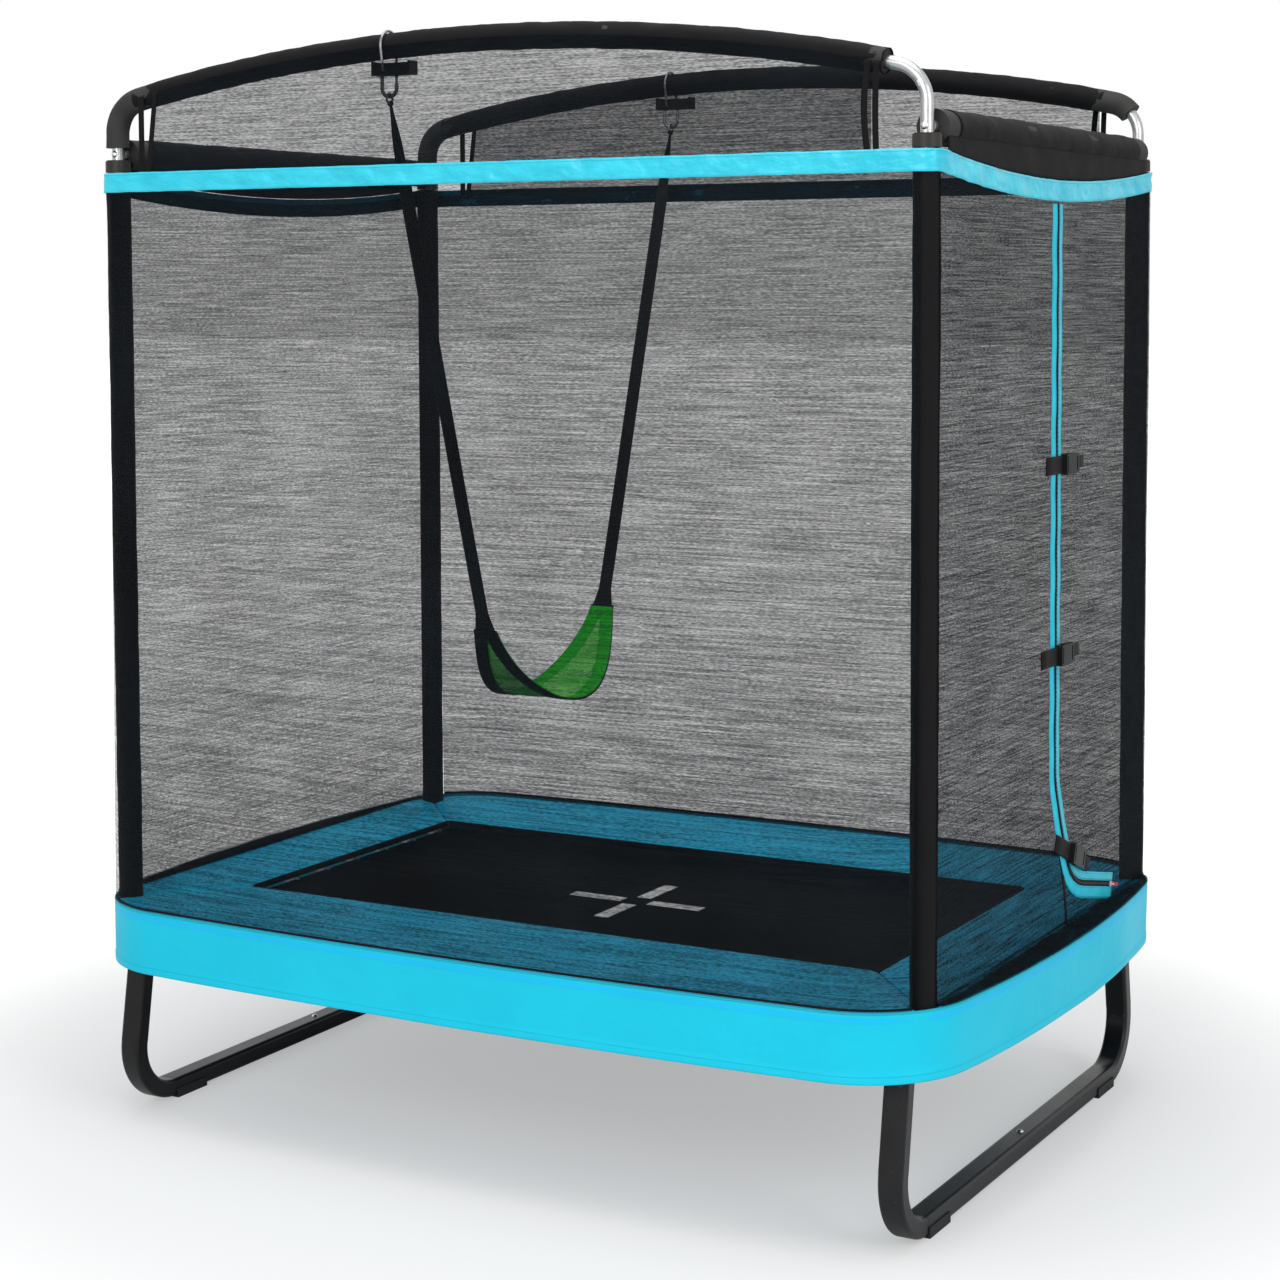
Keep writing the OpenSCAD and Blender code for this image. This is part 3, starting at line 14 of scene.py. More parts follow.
import bmesh
import bpy
from mathutils import Matrix, Vector, noise
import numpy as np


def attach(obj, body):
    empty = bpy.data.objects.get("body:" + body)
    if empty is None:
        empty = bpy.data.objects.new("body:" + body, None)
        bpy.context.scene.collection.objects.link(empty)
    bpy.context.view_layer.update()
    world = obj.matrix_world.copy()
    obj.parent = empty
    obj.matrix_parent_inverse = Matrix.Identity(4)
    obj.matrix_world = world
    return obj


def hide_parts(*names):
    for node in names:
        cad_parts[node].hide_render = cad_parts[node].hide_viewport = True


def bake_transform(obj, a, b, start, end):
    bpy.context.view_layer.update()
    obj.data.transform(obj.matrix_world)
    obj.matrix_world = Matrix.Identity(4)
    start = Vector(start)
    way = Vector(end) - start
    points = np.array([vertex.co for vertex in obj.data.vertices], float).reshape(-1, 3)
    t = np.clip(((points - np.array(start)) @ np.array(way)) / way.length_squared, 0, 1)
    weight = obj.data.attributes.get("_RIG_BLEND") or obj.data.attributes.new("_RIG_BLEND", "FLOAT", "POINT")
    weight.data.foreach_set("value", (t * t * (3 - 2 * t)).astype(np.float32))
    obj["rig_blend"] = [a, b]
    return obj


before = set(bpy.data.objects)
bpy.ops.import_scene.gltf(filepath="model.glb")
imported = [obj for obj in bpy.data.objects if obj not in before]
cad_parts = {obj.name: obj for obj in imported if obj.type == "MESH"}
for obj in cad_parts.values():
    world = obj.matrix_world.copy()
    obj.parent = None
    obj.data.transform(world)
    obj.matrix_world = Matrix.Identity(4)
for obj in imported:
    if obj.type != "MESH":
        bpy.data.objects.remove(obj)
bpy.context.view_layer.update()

logging.basicConfig(level=logging.INFO, format="%(message)s")
LOG = logging.getLogger("trampoline")

RGB = tuple[float, float, float]
Socket = bpy.types.NodeSocket

# Each side's name, whether it lies along X, and its side of the origin.
SIDES = (("front", True, -1), ("rear", True, 1), ("left", False, -1), ("right", False, 1))
# Signs of X and Y at each corner.
CORNERS = {"front_left": (-1, -1), "front_right": (1, -1), "rear_left": (-1, 1), "rear_right": (1, 1)}
# Layers that tell the stitches how far a point lies along and beside its seam.
SEAM_LAYERS = ("along", "beside")
# Heights between which the painted shade at a net's foot (extra opacity that darkens it low down) fades out, and
# how far a thread stands out, in metres.
FOOT_SHADE_SPAN = (0.42, 0.95)
THREAD_RISE = 0.0006


def linear(code: str) -> RGB:
    """Linear colour of an sRGB hex code.

    Args:
        code: Six hex digits.

    Returns:
        Red, green and blue as the shaders use them.
    """
    parts = [int(code[i : i + 2], 16) / 255 for i in (0, 2, 4)]
    return tuple(p / 12.92 if p <= 0.04045 else ((p + 0.055) / 1.055) ** 2.4 for p in parts)


# ------------------------------------------------------------------ finishes


class Nodes:
    """A thin helper round one node tree, for short and readable wiring."""

    def __init__(self, tree: bpy.types.NodeTree) -> None:
        """Keep the tree that nodes are added to."""
        self.tree = tree

    def add(self, kind: str, **values: object) -> bpy.types.Node:
        """Add a node and set its properties.

        Args:
            kind: Blender's node type name.
            values: Properties of the node by name.

        Returns:
            The new node.
        """
        node = self.tree.nodes.new(kind)
        for name, value in values.items():
            setattr(node, name, value)
        return node

    def link(self, source: Socket, target: Socket) -> None:
        """Join two sockets."""
        self.tree.links.new(source, target)

    def put(self, value: object, target: Socket) -> None:
        """Link a socket, or set a plain value, on a target socket.

        Args:
            value: A socket or a plain value.
            target: The socket that takes it.
        """
        if isinstance(value, Socket):
            self.link(value, target)
        else:
            target.default_value = value

    def fill(self, node: bpy.types.Node, **values: object) -> bpy.types.Node:
        """Link or set the named inputs of a node and return the node.

        Args:
            node: The node.
            values: A socket or value for each input by name.

        Returns:
            The node.
        """
        for name, value in values.items():
            self.put(value, node.inputs[name])
        return node

    def shared(self, tree: bpy.types.NodeTree, **values: object) -> bpy.types.Node:
        """Add a shared group and fill its inputs."""
        return self.fill(self.add("ShaderNodeGroup", node_tree=tree), **values)

    def math(self, how: str, a: object, b: object = 0.0, clamp: bool = False) -> Socket:
        """Return the output of a Math node on two sockets or numbers.

        Args:
            how: Name of the operation.
            a: First socket or value.
            b: Second socket or value.
            clamp: Whether the result stays between 0 and 1.

        Returns:
            The output.
        """
        node = self.add("ShaderNodeMath", operation=how, use_clamp=clamp)
        self.put(a, node.inputs[0])
        self.put(b, node.inputs[1])
        return node.outputs[0]

    def vector(self, how: str, a: object, b: object = (0.0, 0.0, 0.0)) -> bpy.types.Node:
        """Return a Vector Math node on two sockets or vectors.

        Args:
            how: Name of the operation.
            a: First socket or value.
            b: Second socket or value.

        Returns:
            The node.
        """
        node = self.add("ShaderNodeVectorMath", operation=how)
        self.put(a, node.inputs[0])
        self.put(b, node.inputs[1])
        return node

    def noise(self, vector: Socket, scale: object, detail: float) -> Socket:
        """Return the value of a Noise Texture."""
        node = self.add("ShaderNodeTexNoise")
        return self.fill(node, Vector=vector, Scale=scale, Detail=detail).outputs["Fac"]

    def mix(self, share: Socket, a: object, b: object) -> Socket:
        """Return a colour between two colours, by a share from 0 to 1."""
        node = self.add("ShaderNodeMix", data_type="RGBA")
        return self.fill(node, Factor=share, A=a, B=b).outputs["Result"]

    def bump(
        self, height: Socket, distance: float, strength: float = 1.0, under: Socket | None = None
    ) -> Socket:
        """Return a normal raised by a height, on top of another normal if one is given.

        Args:
            height: Height of the relief.
            distance: Depth of the relief in metres.
            strength: Strength of the relief.
            under: Normal that it lies on.

        Returns:
            The new normal.
        """
        node = self.fill(self.add("ShaderNodeBump"), Height=height, Distance=distance, Strength=strength)
        if under is not None:
            self.link(under, node.inputs["Normal"])
        return node.outputs["Normal"]

    def ramp(
        self, value: Socket, end: tuple[float, float], start: tuple[float, float] = (0.0, 1.0),
        smooth: bool = False,
    ) -> Socket:
        """Return a value carried over from one span to another.

        Args:
            value: The value to carry over.
            end: Span that comes out.
            start: Span that goes in.
            smooth: Whether the run is eased at both ends.

        Returns:
            The value in the new span.
        """
        node = self.add("ShaderNodeMapRange", interpolation_type="SMOOTHSTEP" if smooth else "LINEAR")
        self.link(value, node.inputs["Value"])
        for label, span in (("From", start), ("To", end)):
            node.inputs[f"{label} Min"].default_value, node.inputs[f"{label} Max"].default_value = span
        return node.outputs["Result"]


class Effects:
    """Shader node groups that several finishes share, each built at its first use."""

    stitch_half: float = 0.0011

    def group(self, name: str, inputs: dict[str, float | None], *outputs: str) -> tuple[Nodes, object, object]:
        """Start a group with its sockets.

        Args:
            name: Name of the group.
            inputs: Default of each input by name, or None for a vector.
            outputs: Name of each value that the group puts out.

        Returns:
            A helper round the new tree, the sockets that come in and those that go out.
        """
        tree = bpy.data.node_groups.new(name, "ShaderNodeTree")
        for label, default in inputs.items():
            kind = "NodeSocketVector" if default is None else "NodeSocketFloat"
            socket = tree.interface.new_socket(label, in_out="INPUT", socket_type=kind)
            if default is not None:
                socket.default_value = default
        for label in outputs:
            tree.interface.new_socket(label, in_out="OUTPUT", socket_type="NodeSocketFloat")
        n = Nodes(tree)
        return n, n.add("NodeGroupInput").outputs, n.add("NodeGroupOutput").inputs

    @cached_property
    def weave(self) -> bpy.types.NodeTree:
        """Threads that cross on every upright or level cloth, with slubs.

        Returns:
            The group's tree.
        """
        n, given, out = self.group("weave", {"Vector": None, "Pitch": 0.002}, "Height", "Shade")
        scaled = n.add("ShaderNodeVectorMath", operation="SCALE")
        n.link(given["Vector"], scaled.inputs[0])
        n.link(n.math("DIVIDE", math.pi, given["Pitch"]), scaled.inputs["Scale"])
        crossing = n.vector("ABSOLUTE", n.vector("SINE", scaled.outputs[0]).outputs[0])
        total = n.vector("DOT_PRODUCT", crossing.outputs[0], (0.34, 0.34, 0.34)).outputs["Value"]
        slub = n.noise(given["Vector"], n.math("DIVIDE", 0.4, given["Pitch"]), 2.0)
        n.link(n.math("MULTIPLY", total, n.math("ADD", slub, 0.5)), out["Height"])
        n.link(n.math("ADD", n.math("MULTIPLY", total, 0.5), n.math("MULTIPLY", slub, 0.5)), out["Shade"])
        return n.tree

    @cached_property
    def mottle(self) -> bpy.types.NodeTree:
        """Broad uneven patches and fine grain for moulded, painted and coated surfaces.

        Returns:
            The group's tree.
        """
        inputs = {"Vector": None, "Patch": 8.0, "Grain": 900.0}
        n, given, out = self.group("mottle", inputs, "Patches", "Height")
        broad = n.noise(given["Vector"], given["Patch"], 4.0)
        stretch = n.math("MULTIPLY", n.math("SUBTRACT", broad, 0.5), 2.2)
        n.link(n.math("ADD", stretch, 0.5, clamp=True), out["Patches"])
        n.link(n.noise(given["Vector"], given["Grain"], 3.0), out["Height"])
        return n.tree

    @cached_property
    def scuffs(self) -> bpy.types.NodeTree:
        """Sparse rubbed spots and fine scratches.

        Returns:
            The group's tree.
        """
        n, given, out = self.group("scuffs", {"Vector": None, "Amount": 0.3}, "Mask")
        spots = n.noise(given["Vector"], 60.0, 6.0)
        lines = n.noise(n.vector("MULTIPLY", given["Vector"], (30.0, 400.0, 120.0)).outputs[0], 1.0, 2.0)
        limit = n.math("SUBTRACT", 0.42, n.math("MULTIPLY", given["Amount"], 0.12))
        edge = n.math("SUBTRACT", n.math("MULTIPLY", spots, lines), limit)
        n.link(n.math("MULTIPLY", edge, 9.0, clamp=True), out["Mask"])
        return n.tree

    @cached_property
    def threads(self) -> bpy.types.NodeTree:
        """Cover of a knitted net: level runs of thread, broken up and uneven.

        Returns:
            The group's tree.
        """
        n, given, out = self.group("threads", {"Vector": None, "Pitch": 0.004}, "Cover")
        rate = n.math("DIVIDE", 1.0, given["Pitch"])
        runs = n.noise(n.vector("MULTIPLY", given["Vector"], (0.02, 0.02, 1.0)).outputs[0], rate, 2.0)
        broken = n.vector("MULTIPLY", given["Vector"], (0.2, 0.2, 1.0)).outputs[0]
        fine = n.noise(broken, n.math("MULTIPLY", rate, 1.7), 1.0)
        broad = n.noise(given["Vector"], 5.0, 2.0)
        mix = 0.5
        for part, strength in ((runs, 2.0), (fine, 1.9), (broad, 0.3)):
            swing = n.math("MULTIPLY", n.math("SUBTRACT", part, 0.5), strength)
            mix = n.math("ADD", swing, mix, clamp=part is broad)
        n.link(mix, out["Cover"])
        return n.tree

    @cached_property
    def stitches(self) -> bpy.types.NodeTree:
        """Dashes along seams: reads how far a point lies along and beside its seam, in metres.

        Returns:
            The group's tree.
        """
        n, given, out = self.group("stitches", {"Along": 0.0, "Beside": 1.0, "Length": 0.005}, "Mask")
        off = n.math("DIVIDE", n.math("ABSOLUTE", given["Beside"]), self.stitch_half)
        line = n.math("SUBTRACT", 1.0, off, clamp=True)
        turns = n.math("DIVIDE", given["Along"], given["Length"])
        wave = n.math("SINE", n.math("MULTIPLY", turns, 2 * math.pi))
        dash = n.math("ADD", n.math("MULTIPLY", wave, 2.5), 0.8, clamp=True)
        n.link(n.math("MULTIPLY", line, dash), out["Mask"])
        return n.tree


EFFECTS = Effects()


class Grain(Enum):
    """Kind of surface detail that a finish shows."""

    WEAVE = "weave"
    NET = "net"
    FOAM = "foam"
    MOULDED = "moulded"
    METAL = "metal"


@dataclass(frozen=True)
class Finish:
    """One finish: colours, gloss, grain and wear of one of the object's materials.

    Attributes:
        name: Name of the material.
        colour: Main colour, linear.
        shade: Colour that the main one varies to, linear.
        rough: Lowest and highest roughness.
        grain: Kind of fine detail.
        pitch: Size of the fine detail in metres.
        bump: Height of the fine detail in metres.
        patch: Broad patches per metre.
        metallic: Share of metal.
        coat: Strength of a clear coat.
        sheen: Strength of the cloth's sheen.
        specular: Specular level.
        cover: Lowest and highest opacity of an open cloth, or None for a closed one.
        painted_foot_shade: Opacity that an open cloth gains towards its foot, a painted shade that darkens it
            low down.
        thread: Colour of the sewing thread, or None for a finish without seams.
        fold: Height of soft creases in metres.
        wear: How much of it is scuffed.
    """

    name: str
    colour: RGB
    shade: RGB
    rough: tuple[float, float]
    grain: Grain
    pitch: float = 0.002
    bump: float = 0.0002
    patch: float = 7.0
    metallic: float = 0.0
    coat: float = 0.0
    sheen: float = 0.0
    specular: float = 0.5
    cover: tuple[float, float] | None = None
    painted_foot_shade: float = 0.0
    thread: RGB | None = None
    fold: float = 0.0
    wear: float = 0.0

    def opacity(self, n: Nodes, place: Socket) -> Socket:
        """Return the opacity of an open cloth, with painted shade towards its foot.

        Args:
            n: Helper round the material's tree.
            place: Place on the object.

        Returns:
            The opacity.
        """
        threads = n.shared(EFFECTS.threads, Vector=place, Pitch=self.pitch)
        alpha = n.ramp(threads.outputs["Cover"], self.cover)
        if self.painted_foot_shade:
            # Painted shade: extra opacity makes the net darker towards its foot.
            apart = n.add("ShaderNodeSeparateXYZ")
            n.link(place, apart.inputs[0])
            foot = n.ramp(apart.outputs["Z"], (self.painted_foot_shade, 0.0), FOOT_SHADE_SPAN)
            alpha = n.math("ADD", alpha, foot, clamp=True)
        return alpha

    def material(self) -> bpy.types.Material:
        """Return the material, made at its first use.

        Returns:
            The material.
        """
        known = bpy.data.materials.get(f"finish_{self.name}")
        if known is not None:
            return known
        made = bpy.data.materials.new(f"finish_{self.name}")
        made.use_nodes = True
        n = Nodes(made.node_tree)
        n.tree.nodes.clear()
        place = n.add("ShaderNodeTexCoord").outputs["Object"]
        mottle = n.shared(EFFECTS.mottle, Vector=place, Patch=self.patch, Grain=1.0 / self.pitch)
        patches, height = mottle.outputs["Patches"], mottle.outputs["Height"]
        share = gloss = patches
        if self.grain is Grain.WEAVE:
            weave = n.shared(EFFECTS.weave, Vector=place, Pitch=self.pitch)
            height = weave.outputs["Height"]
            shade = n.math("MULTIPLY", weave.outputs["Shade"], 0.4)
            share = n.math("ADD", n.math("MULTIPLY", patches, 0.6), shade)
        if self.grain is Grain.FOAM:
            cells = n.fill(n.add("ShaderNodeTexVoronoi"), Vector=place, Scale=1.0 / self.pitch)
            height = n.math("ADD", height, cells.outputs["Distance"])
        tint = n.mix(share, (*self.colour, 1.0), (*self.shade, 1.0))
        normal = n.bump(height, self.bump, 0.8)
        if self.fold:
            creases = n.noise(n.vector("MULTIPLY", place, (1.0, 1.0, 1.6)).outputs[0], 14.0, 3.0)
            normal = n.bump(creases, self.fold, under=normal)
        if self.thread is not None:
            layers = [n.add("ShaderNodeAttribute", attribute_name=layer) for layer in SEAM_LAYERS]
            along, beside = (layer.outputs["Fac"] for layer in layers)
            stitch = n.shared(EFFECTS.stitches, Along=along, Beside=beside).outputs["Mask"]
            tint = n.mix(stitch, tint, (*self.thread, 1.0))
            normal = n.bump(stitch, THREAD_RISE, under=normal)
        if self.wear:
            worn = n.shared(EFFECTS.scuffs, Vector=place, Amount=self.wear).outputs["Mask"]
            tint = n.mix(worn, tint, (*[min(1.0, c * 1.6 + 0.03) for c in self.shade], 1.0))
            gloss = n.math("ADD", patches, n.math("MULTIPLY", worn, 0.6), clamp=True)
        values = {
            "Metallic": self.metallic,
            "Coat Weight": self.coat,
            "Sheen Weight": self.sheen,
            "Specular IOR Level": self.specular,
            "Roughness": n.ramp(gloss, self.rough),
            "Base Color": tint,
            "Normal": normal,
        }
        if self.cover is not None:
            values["Alpha"] = self.opacity(n, place)
        shader = n.fill(n.add("ShaderNodeBsdfPrincipled"), **values)
        n.link(shader.outputs[0], n.add("ShaderNodeOutputMaterial").inputs[0])
        return made


INK = (0.004, 0.004, 0.0045)
GREY_INK = (0.01, 0.01, 0.011)
SEAM = (0.006, 0.3, 0.42)

metal = partial(Finish, grain=Grain.METAL, pitch=0.001, bump=0.00003, patch=60.0, metallic=1.0)
moulded = partial(Finish, grain=Grain.MOULDED, pitch=0.0008, bump=0.00005, specular=0.25)
woven = partial(Finish, grain=Grain.WEAVE)
coated = partial(woven, pitch=0.0014, bump=0.00008, patch=5.0, specular=0.2)

FRAME_PAINT = moulded(
    "frame_paint", (0.0055, 0.0055, 0.006), (0.011, 0.011, 0.012), (0.26, 0.4),
    pitch=0.0007, bump=0.00006, specular=0.2, coat=0.04, wear=0.25,
)
GALVANISED = metal(
    "galvanised_steel", (0.4, 0.405, 0.41), (0.56, 0.565, 0.57), (0.26, 0.4),
    pitch=0.0015, patch=40.0, wear=0.3,
)
ZINC = metal("zinc_fasteners", (0.55, 0.56, 0.58), (0.75, 0.76, 0.78), (0.25, 0.4), wear=0.4)
SPRING_STEEL = metal(
    "spring_steel", (0.5, 0.51, 0.53), (0.66, 0.67, 0.69), (0.25, 0.42), bump=0.00002, patch=50.0
)
HOOK_STEEL = metal("hook_steel", (0.14, 0.145, 0.15), (0.3, 0.31, 0.33), (0.28, 0.45), wear=0.3)
ZIP_METAL = metal("zip_metal", (0.7, 0.7, 0.72), (0.85, 0.85, 0.87), (0.25, 0.4), bump=0.00002)
FOOT_PLASTIC = moulded(
    "foot_plastic", (0.01, 0.01, 0.011), (0.022, 0.022, 0.023), (0.5, 0.7), bump=0.00012, wear=0.4
)
CAP_PLASTIC = moulded(
    "cap_plastic", (0.02, 0.017, 0.016), (0.032, 0.028, 0.027), (0.35, 0.5), bump=0.00008, wear=0.2
)
BUCKLE_PLASTIC = moulded("buckle_plastic", INK, GREY_INK, (0.3, 0.45), pitch=0.0006, specular=0.18, wear=0.2)
PULL_PLASTIC = moulded("pull_plastic", linear("d0164c"), linear("a01040"), (0.35, 0.5))
TOOTH = moulded("zip_teeth", (0.008, 0.009, 0.012), (0.02, 0.02, 0.025), (0.35, 0.5))
FOAM = Finish(
    "foam", (0.021, 0.021, 0.0205), (0.046, 0.046, 0.044), (0.55, 0.8), Grain.FOAM, 0.0022, 0.0003, 12.0,
    specular=0.14, fold=0.002,
)
SLEEVE = woven(
    "sleeve_cloth", (0.0042, 0.0042, 0.0048), (0.0095, 0.0095, 0.0105), (0.62, 0.82),
    pitch=0.0016, bump=0.00025, patch=14.0, sheen=0.02, specular=0.08, fold=0.002,
)
BINDING = woven(
    "binding_cloth", INK, (0.009, 0.009, 0.01), (0.6, 0.8),
    pitch=0.0018, bump=0.0003, patch=18.0, sheen=0.01, specular=0.07,
)
WEBBING = woven(
    "webbing", INK, GREY_INK, (0.5, 0.72),
    pitch=0.0024, bump=0.0005, patch=20.0, sheen=0.02, specular=0.1, thread=(0.02, 0.02, 0.022),
)
MAT = woven(
    "mat_cloth", (0.0012, 0.0013, 0.0015), (0.003, 0.0031, 0.0034), (0.6, 0.8),
    pitch=0.0026, bump=0.0004, patch=5.0, specular=0.03, thread=(0.02, 0.02, 0.02),
)
MAT_MARK = woven(
    "mat_mark", (0.9, 0.9, 0.9), (0.74, 0.75, 0.76), (0.6, 0.8),
    pitch=0.0026, bump=0.0004, patch=260.0, specular=0.15,
)
PAD = coated(
    "pad_cover", (0.004, 0.52, 0.84), (0.003, 0.44, 0.73), (0.38, 0.55), thread=(0.004, 0.24, 0.38), fold=0.0035
)
SKIRT = coated(
    "skirt_cover", (0.003, 0.56, 0.755), (0.002, 0.48, 0.66), (0.38, 0.55), thread=SEAM, fold=0.003
)
BAND = coated(
    "band_cloth", (0.036, 0.64, 0.79), (0.005, 0.46, 0.62), (0.26, 0.44),
    bump=0.0001, patch=16.0, coat=0.12, specular=0.45, thread=SEAM, fold=0.011,
)
# Painted shade: a dark navy copy of the band cloth for the band's inner face, which lies in shade.
BAND_INSIDE_SHADE = coated(
    "band_inside_painted_shade", (0.001, 0.06, 0.1), (0.001, 0.035, 0.06), (0.4, 0.6),
    bump=0.0001, patch=16.0, specular=0.1, fold=0.006,
)
ZIP_CLOTH = woven(
    "zip_cloth", (0.022, 0.6, 0.78), (0.01, 0.46, 0.62), (0.5, 0.68),
    pitch=0.0012, bump=0.0003, patch=30.0, specular=0.2, thread=(0.005, 0.22, 0.32), fold=0.002,
)
ZIP_PALE = replace(ZIP_CLOTH, name="zip_cloth_pale", colour=(0.09, 0.6, 0.74), shade=(0.03, 0.44, 0.58))
# Nets darken towards their foot by painted_foot_shade, a painted shade.
NET = Finish(
    "net_mesh", (0.004, 0.0053, 0.0066), (0.009, 0.012, 0.015), (0.6, 0.8), Grain.NET, 0.0028, 0.0002, 4.0,
    specular=0.02, cover=(0.34, 0.76), painted_foot_shade=0.1,
)
NET_SIDE = replace(NET, name="net_mesh_side", cover=(0.62, 0.97), painted_foot_shade=0.03)
NET_ARCH = replace(NET, name="net_mesh_arch", cover=(0.51, 0.88), painted_foot_shade=0.0)
SEAT = woven(
    "seat_cloth", linear("18a81c"), linear("0e8a14"), (0.55, 0.75),
    bump=0.0004, patch=16.0, specular=0.15, thread=linear("0c5c10"), fold=0.002,
)
SEAT_NET = Finish(
    "seat_net", linear("5fc24d"), linear("35a52c"), (0.6, 0.8), Grain.NET, 0.003, 0.0004, 16.0,
    specular=0.1, cover=(0.6, 0.96),
)


# ------------------------------------------------------------------ shared shapes


@dataclass(frozen=True)
class Plan:
    """Sizes that the cloth parts share: bowed outline, posts, arches and heights, in metres."""

    half_l: float = 0.915
    half_w: float = 0.668
    long_r: float = 11.0
    short_r: float = 3.75
    corner_r: float = 0.2
    corner: tuple[float, float] = (0.686855, 0.446137)
    post_x: float = 0.832706
    post_y: float = 0.533082
    pad_z: float = 0.416
    pad_t: float = 0.019
    skirt_h: float = 0.121
    open_l: float = 1.35
    open_w: float = 0.71
    arch_z: float = 2.028
    arch_r: float = 3.9
    elbow_r: float = 0.066
    elbow_top: float = 1.88456
    arch_tan_x: float = 0.779905
    bolt_z: float = 1.8475
    sleeve_r: float = 0.024
    foam_r: float = 0.022
    tube_r: float = 0.011
    net_out: float = 0.02505
    net_top: float = 1.799
    lean_top: float = 1.772
    band_sag: float = 0.033
    frame_inset: float = 0.0602
    mat_z: float = 0.379
    cloth_slack: float = 0.0006
    cloth_t: float = 0.0009
    thin_t: float = 0.0012

    @property
    def long_end(self) -> float:
        """Angle at which a long side runs into its corner."""
        return math.atan2(self.corner[1] - (self.half_w - self.long_r), self.corner[0])

    @property
    def short_end(self) -> float:
        """Angle at which a short side runs into its corner."""
        return math.atan2(self.corner[1], self.corner[0] - (self.half_l - self.short_r))

    def edge_y(self, x: float, inset: float = 0.0) -> float:
        """Half width of the outline at x, pulled in by inset.

        Args:
            x: Place along the length.
            inset: How far the outline is pulled in.

        Returns:
            Half width there.
        """
        r, rc = self.long_r - inset, self.corner_r - inset
        if abs(x) < r * math.cos(self.long_end):
            return self.half_w - self.long_r + math.sqrt(r * r - x * x)
        return self.corner[1] + math.sqrt(max(0.0, rc * rc - (abs(x) - self.corner[0]) ** 2))

    def edge_x(self, y: float, inset: float = 0.0) -> float:
        """Half length of the outline at y, pulled in by inset.

        Args:
            y: Place along the width.
            inset: How far the outline is pulled in.

        Returns:
            Half length there.
        """
        r, rc = self.short_r - inset, self.corner_r - inset
        if abs(y) < r * math.sin(self.short_end):
            return self.half_l - self.short_r + math.sqrt(r * r - y * y)
        return self.corner[0] + math.sqrt(max(0.0, rc * rc - (abs(y) - self.corner[1]) ** 2))

    def sag(self, y: float) -> float:
        """Drop of the band on a short side at y."""
        return self.band_sag * max(0.0, 1 - (y / self.post_y) ** 2)

    def arch_height(self, x: float) -> float:
        """Height of the arch's centre line at x."""
        return self.arch_z - self.arch_r + math.sqrt(self.arch_r**2 - x * x)

    @property
    def foam_bore(self) -> float:
        """Radius of the hole in a foam that sits on a tube."""
        return self.tube_r + 0.0004

    @property
    def sleeve_skin(self) -> float:
        """Radius of a sleeve's cloth before it is ruffled."""
        return self.sleeve_r - self.cloth_slack


PLAN = Plan()
UP = (0, 0, 1)


def ripple(*parts: tuple[float, float, float, float]) -> float:
    """Add up smooth noises.

    Args:
        parts: X, Y and Z of the place in each noise, and its height.

    Returns:
        The height of all noises together.
    """
    return sum(noise.noise(Vector(part[:3])) * part[3] for part in parts)


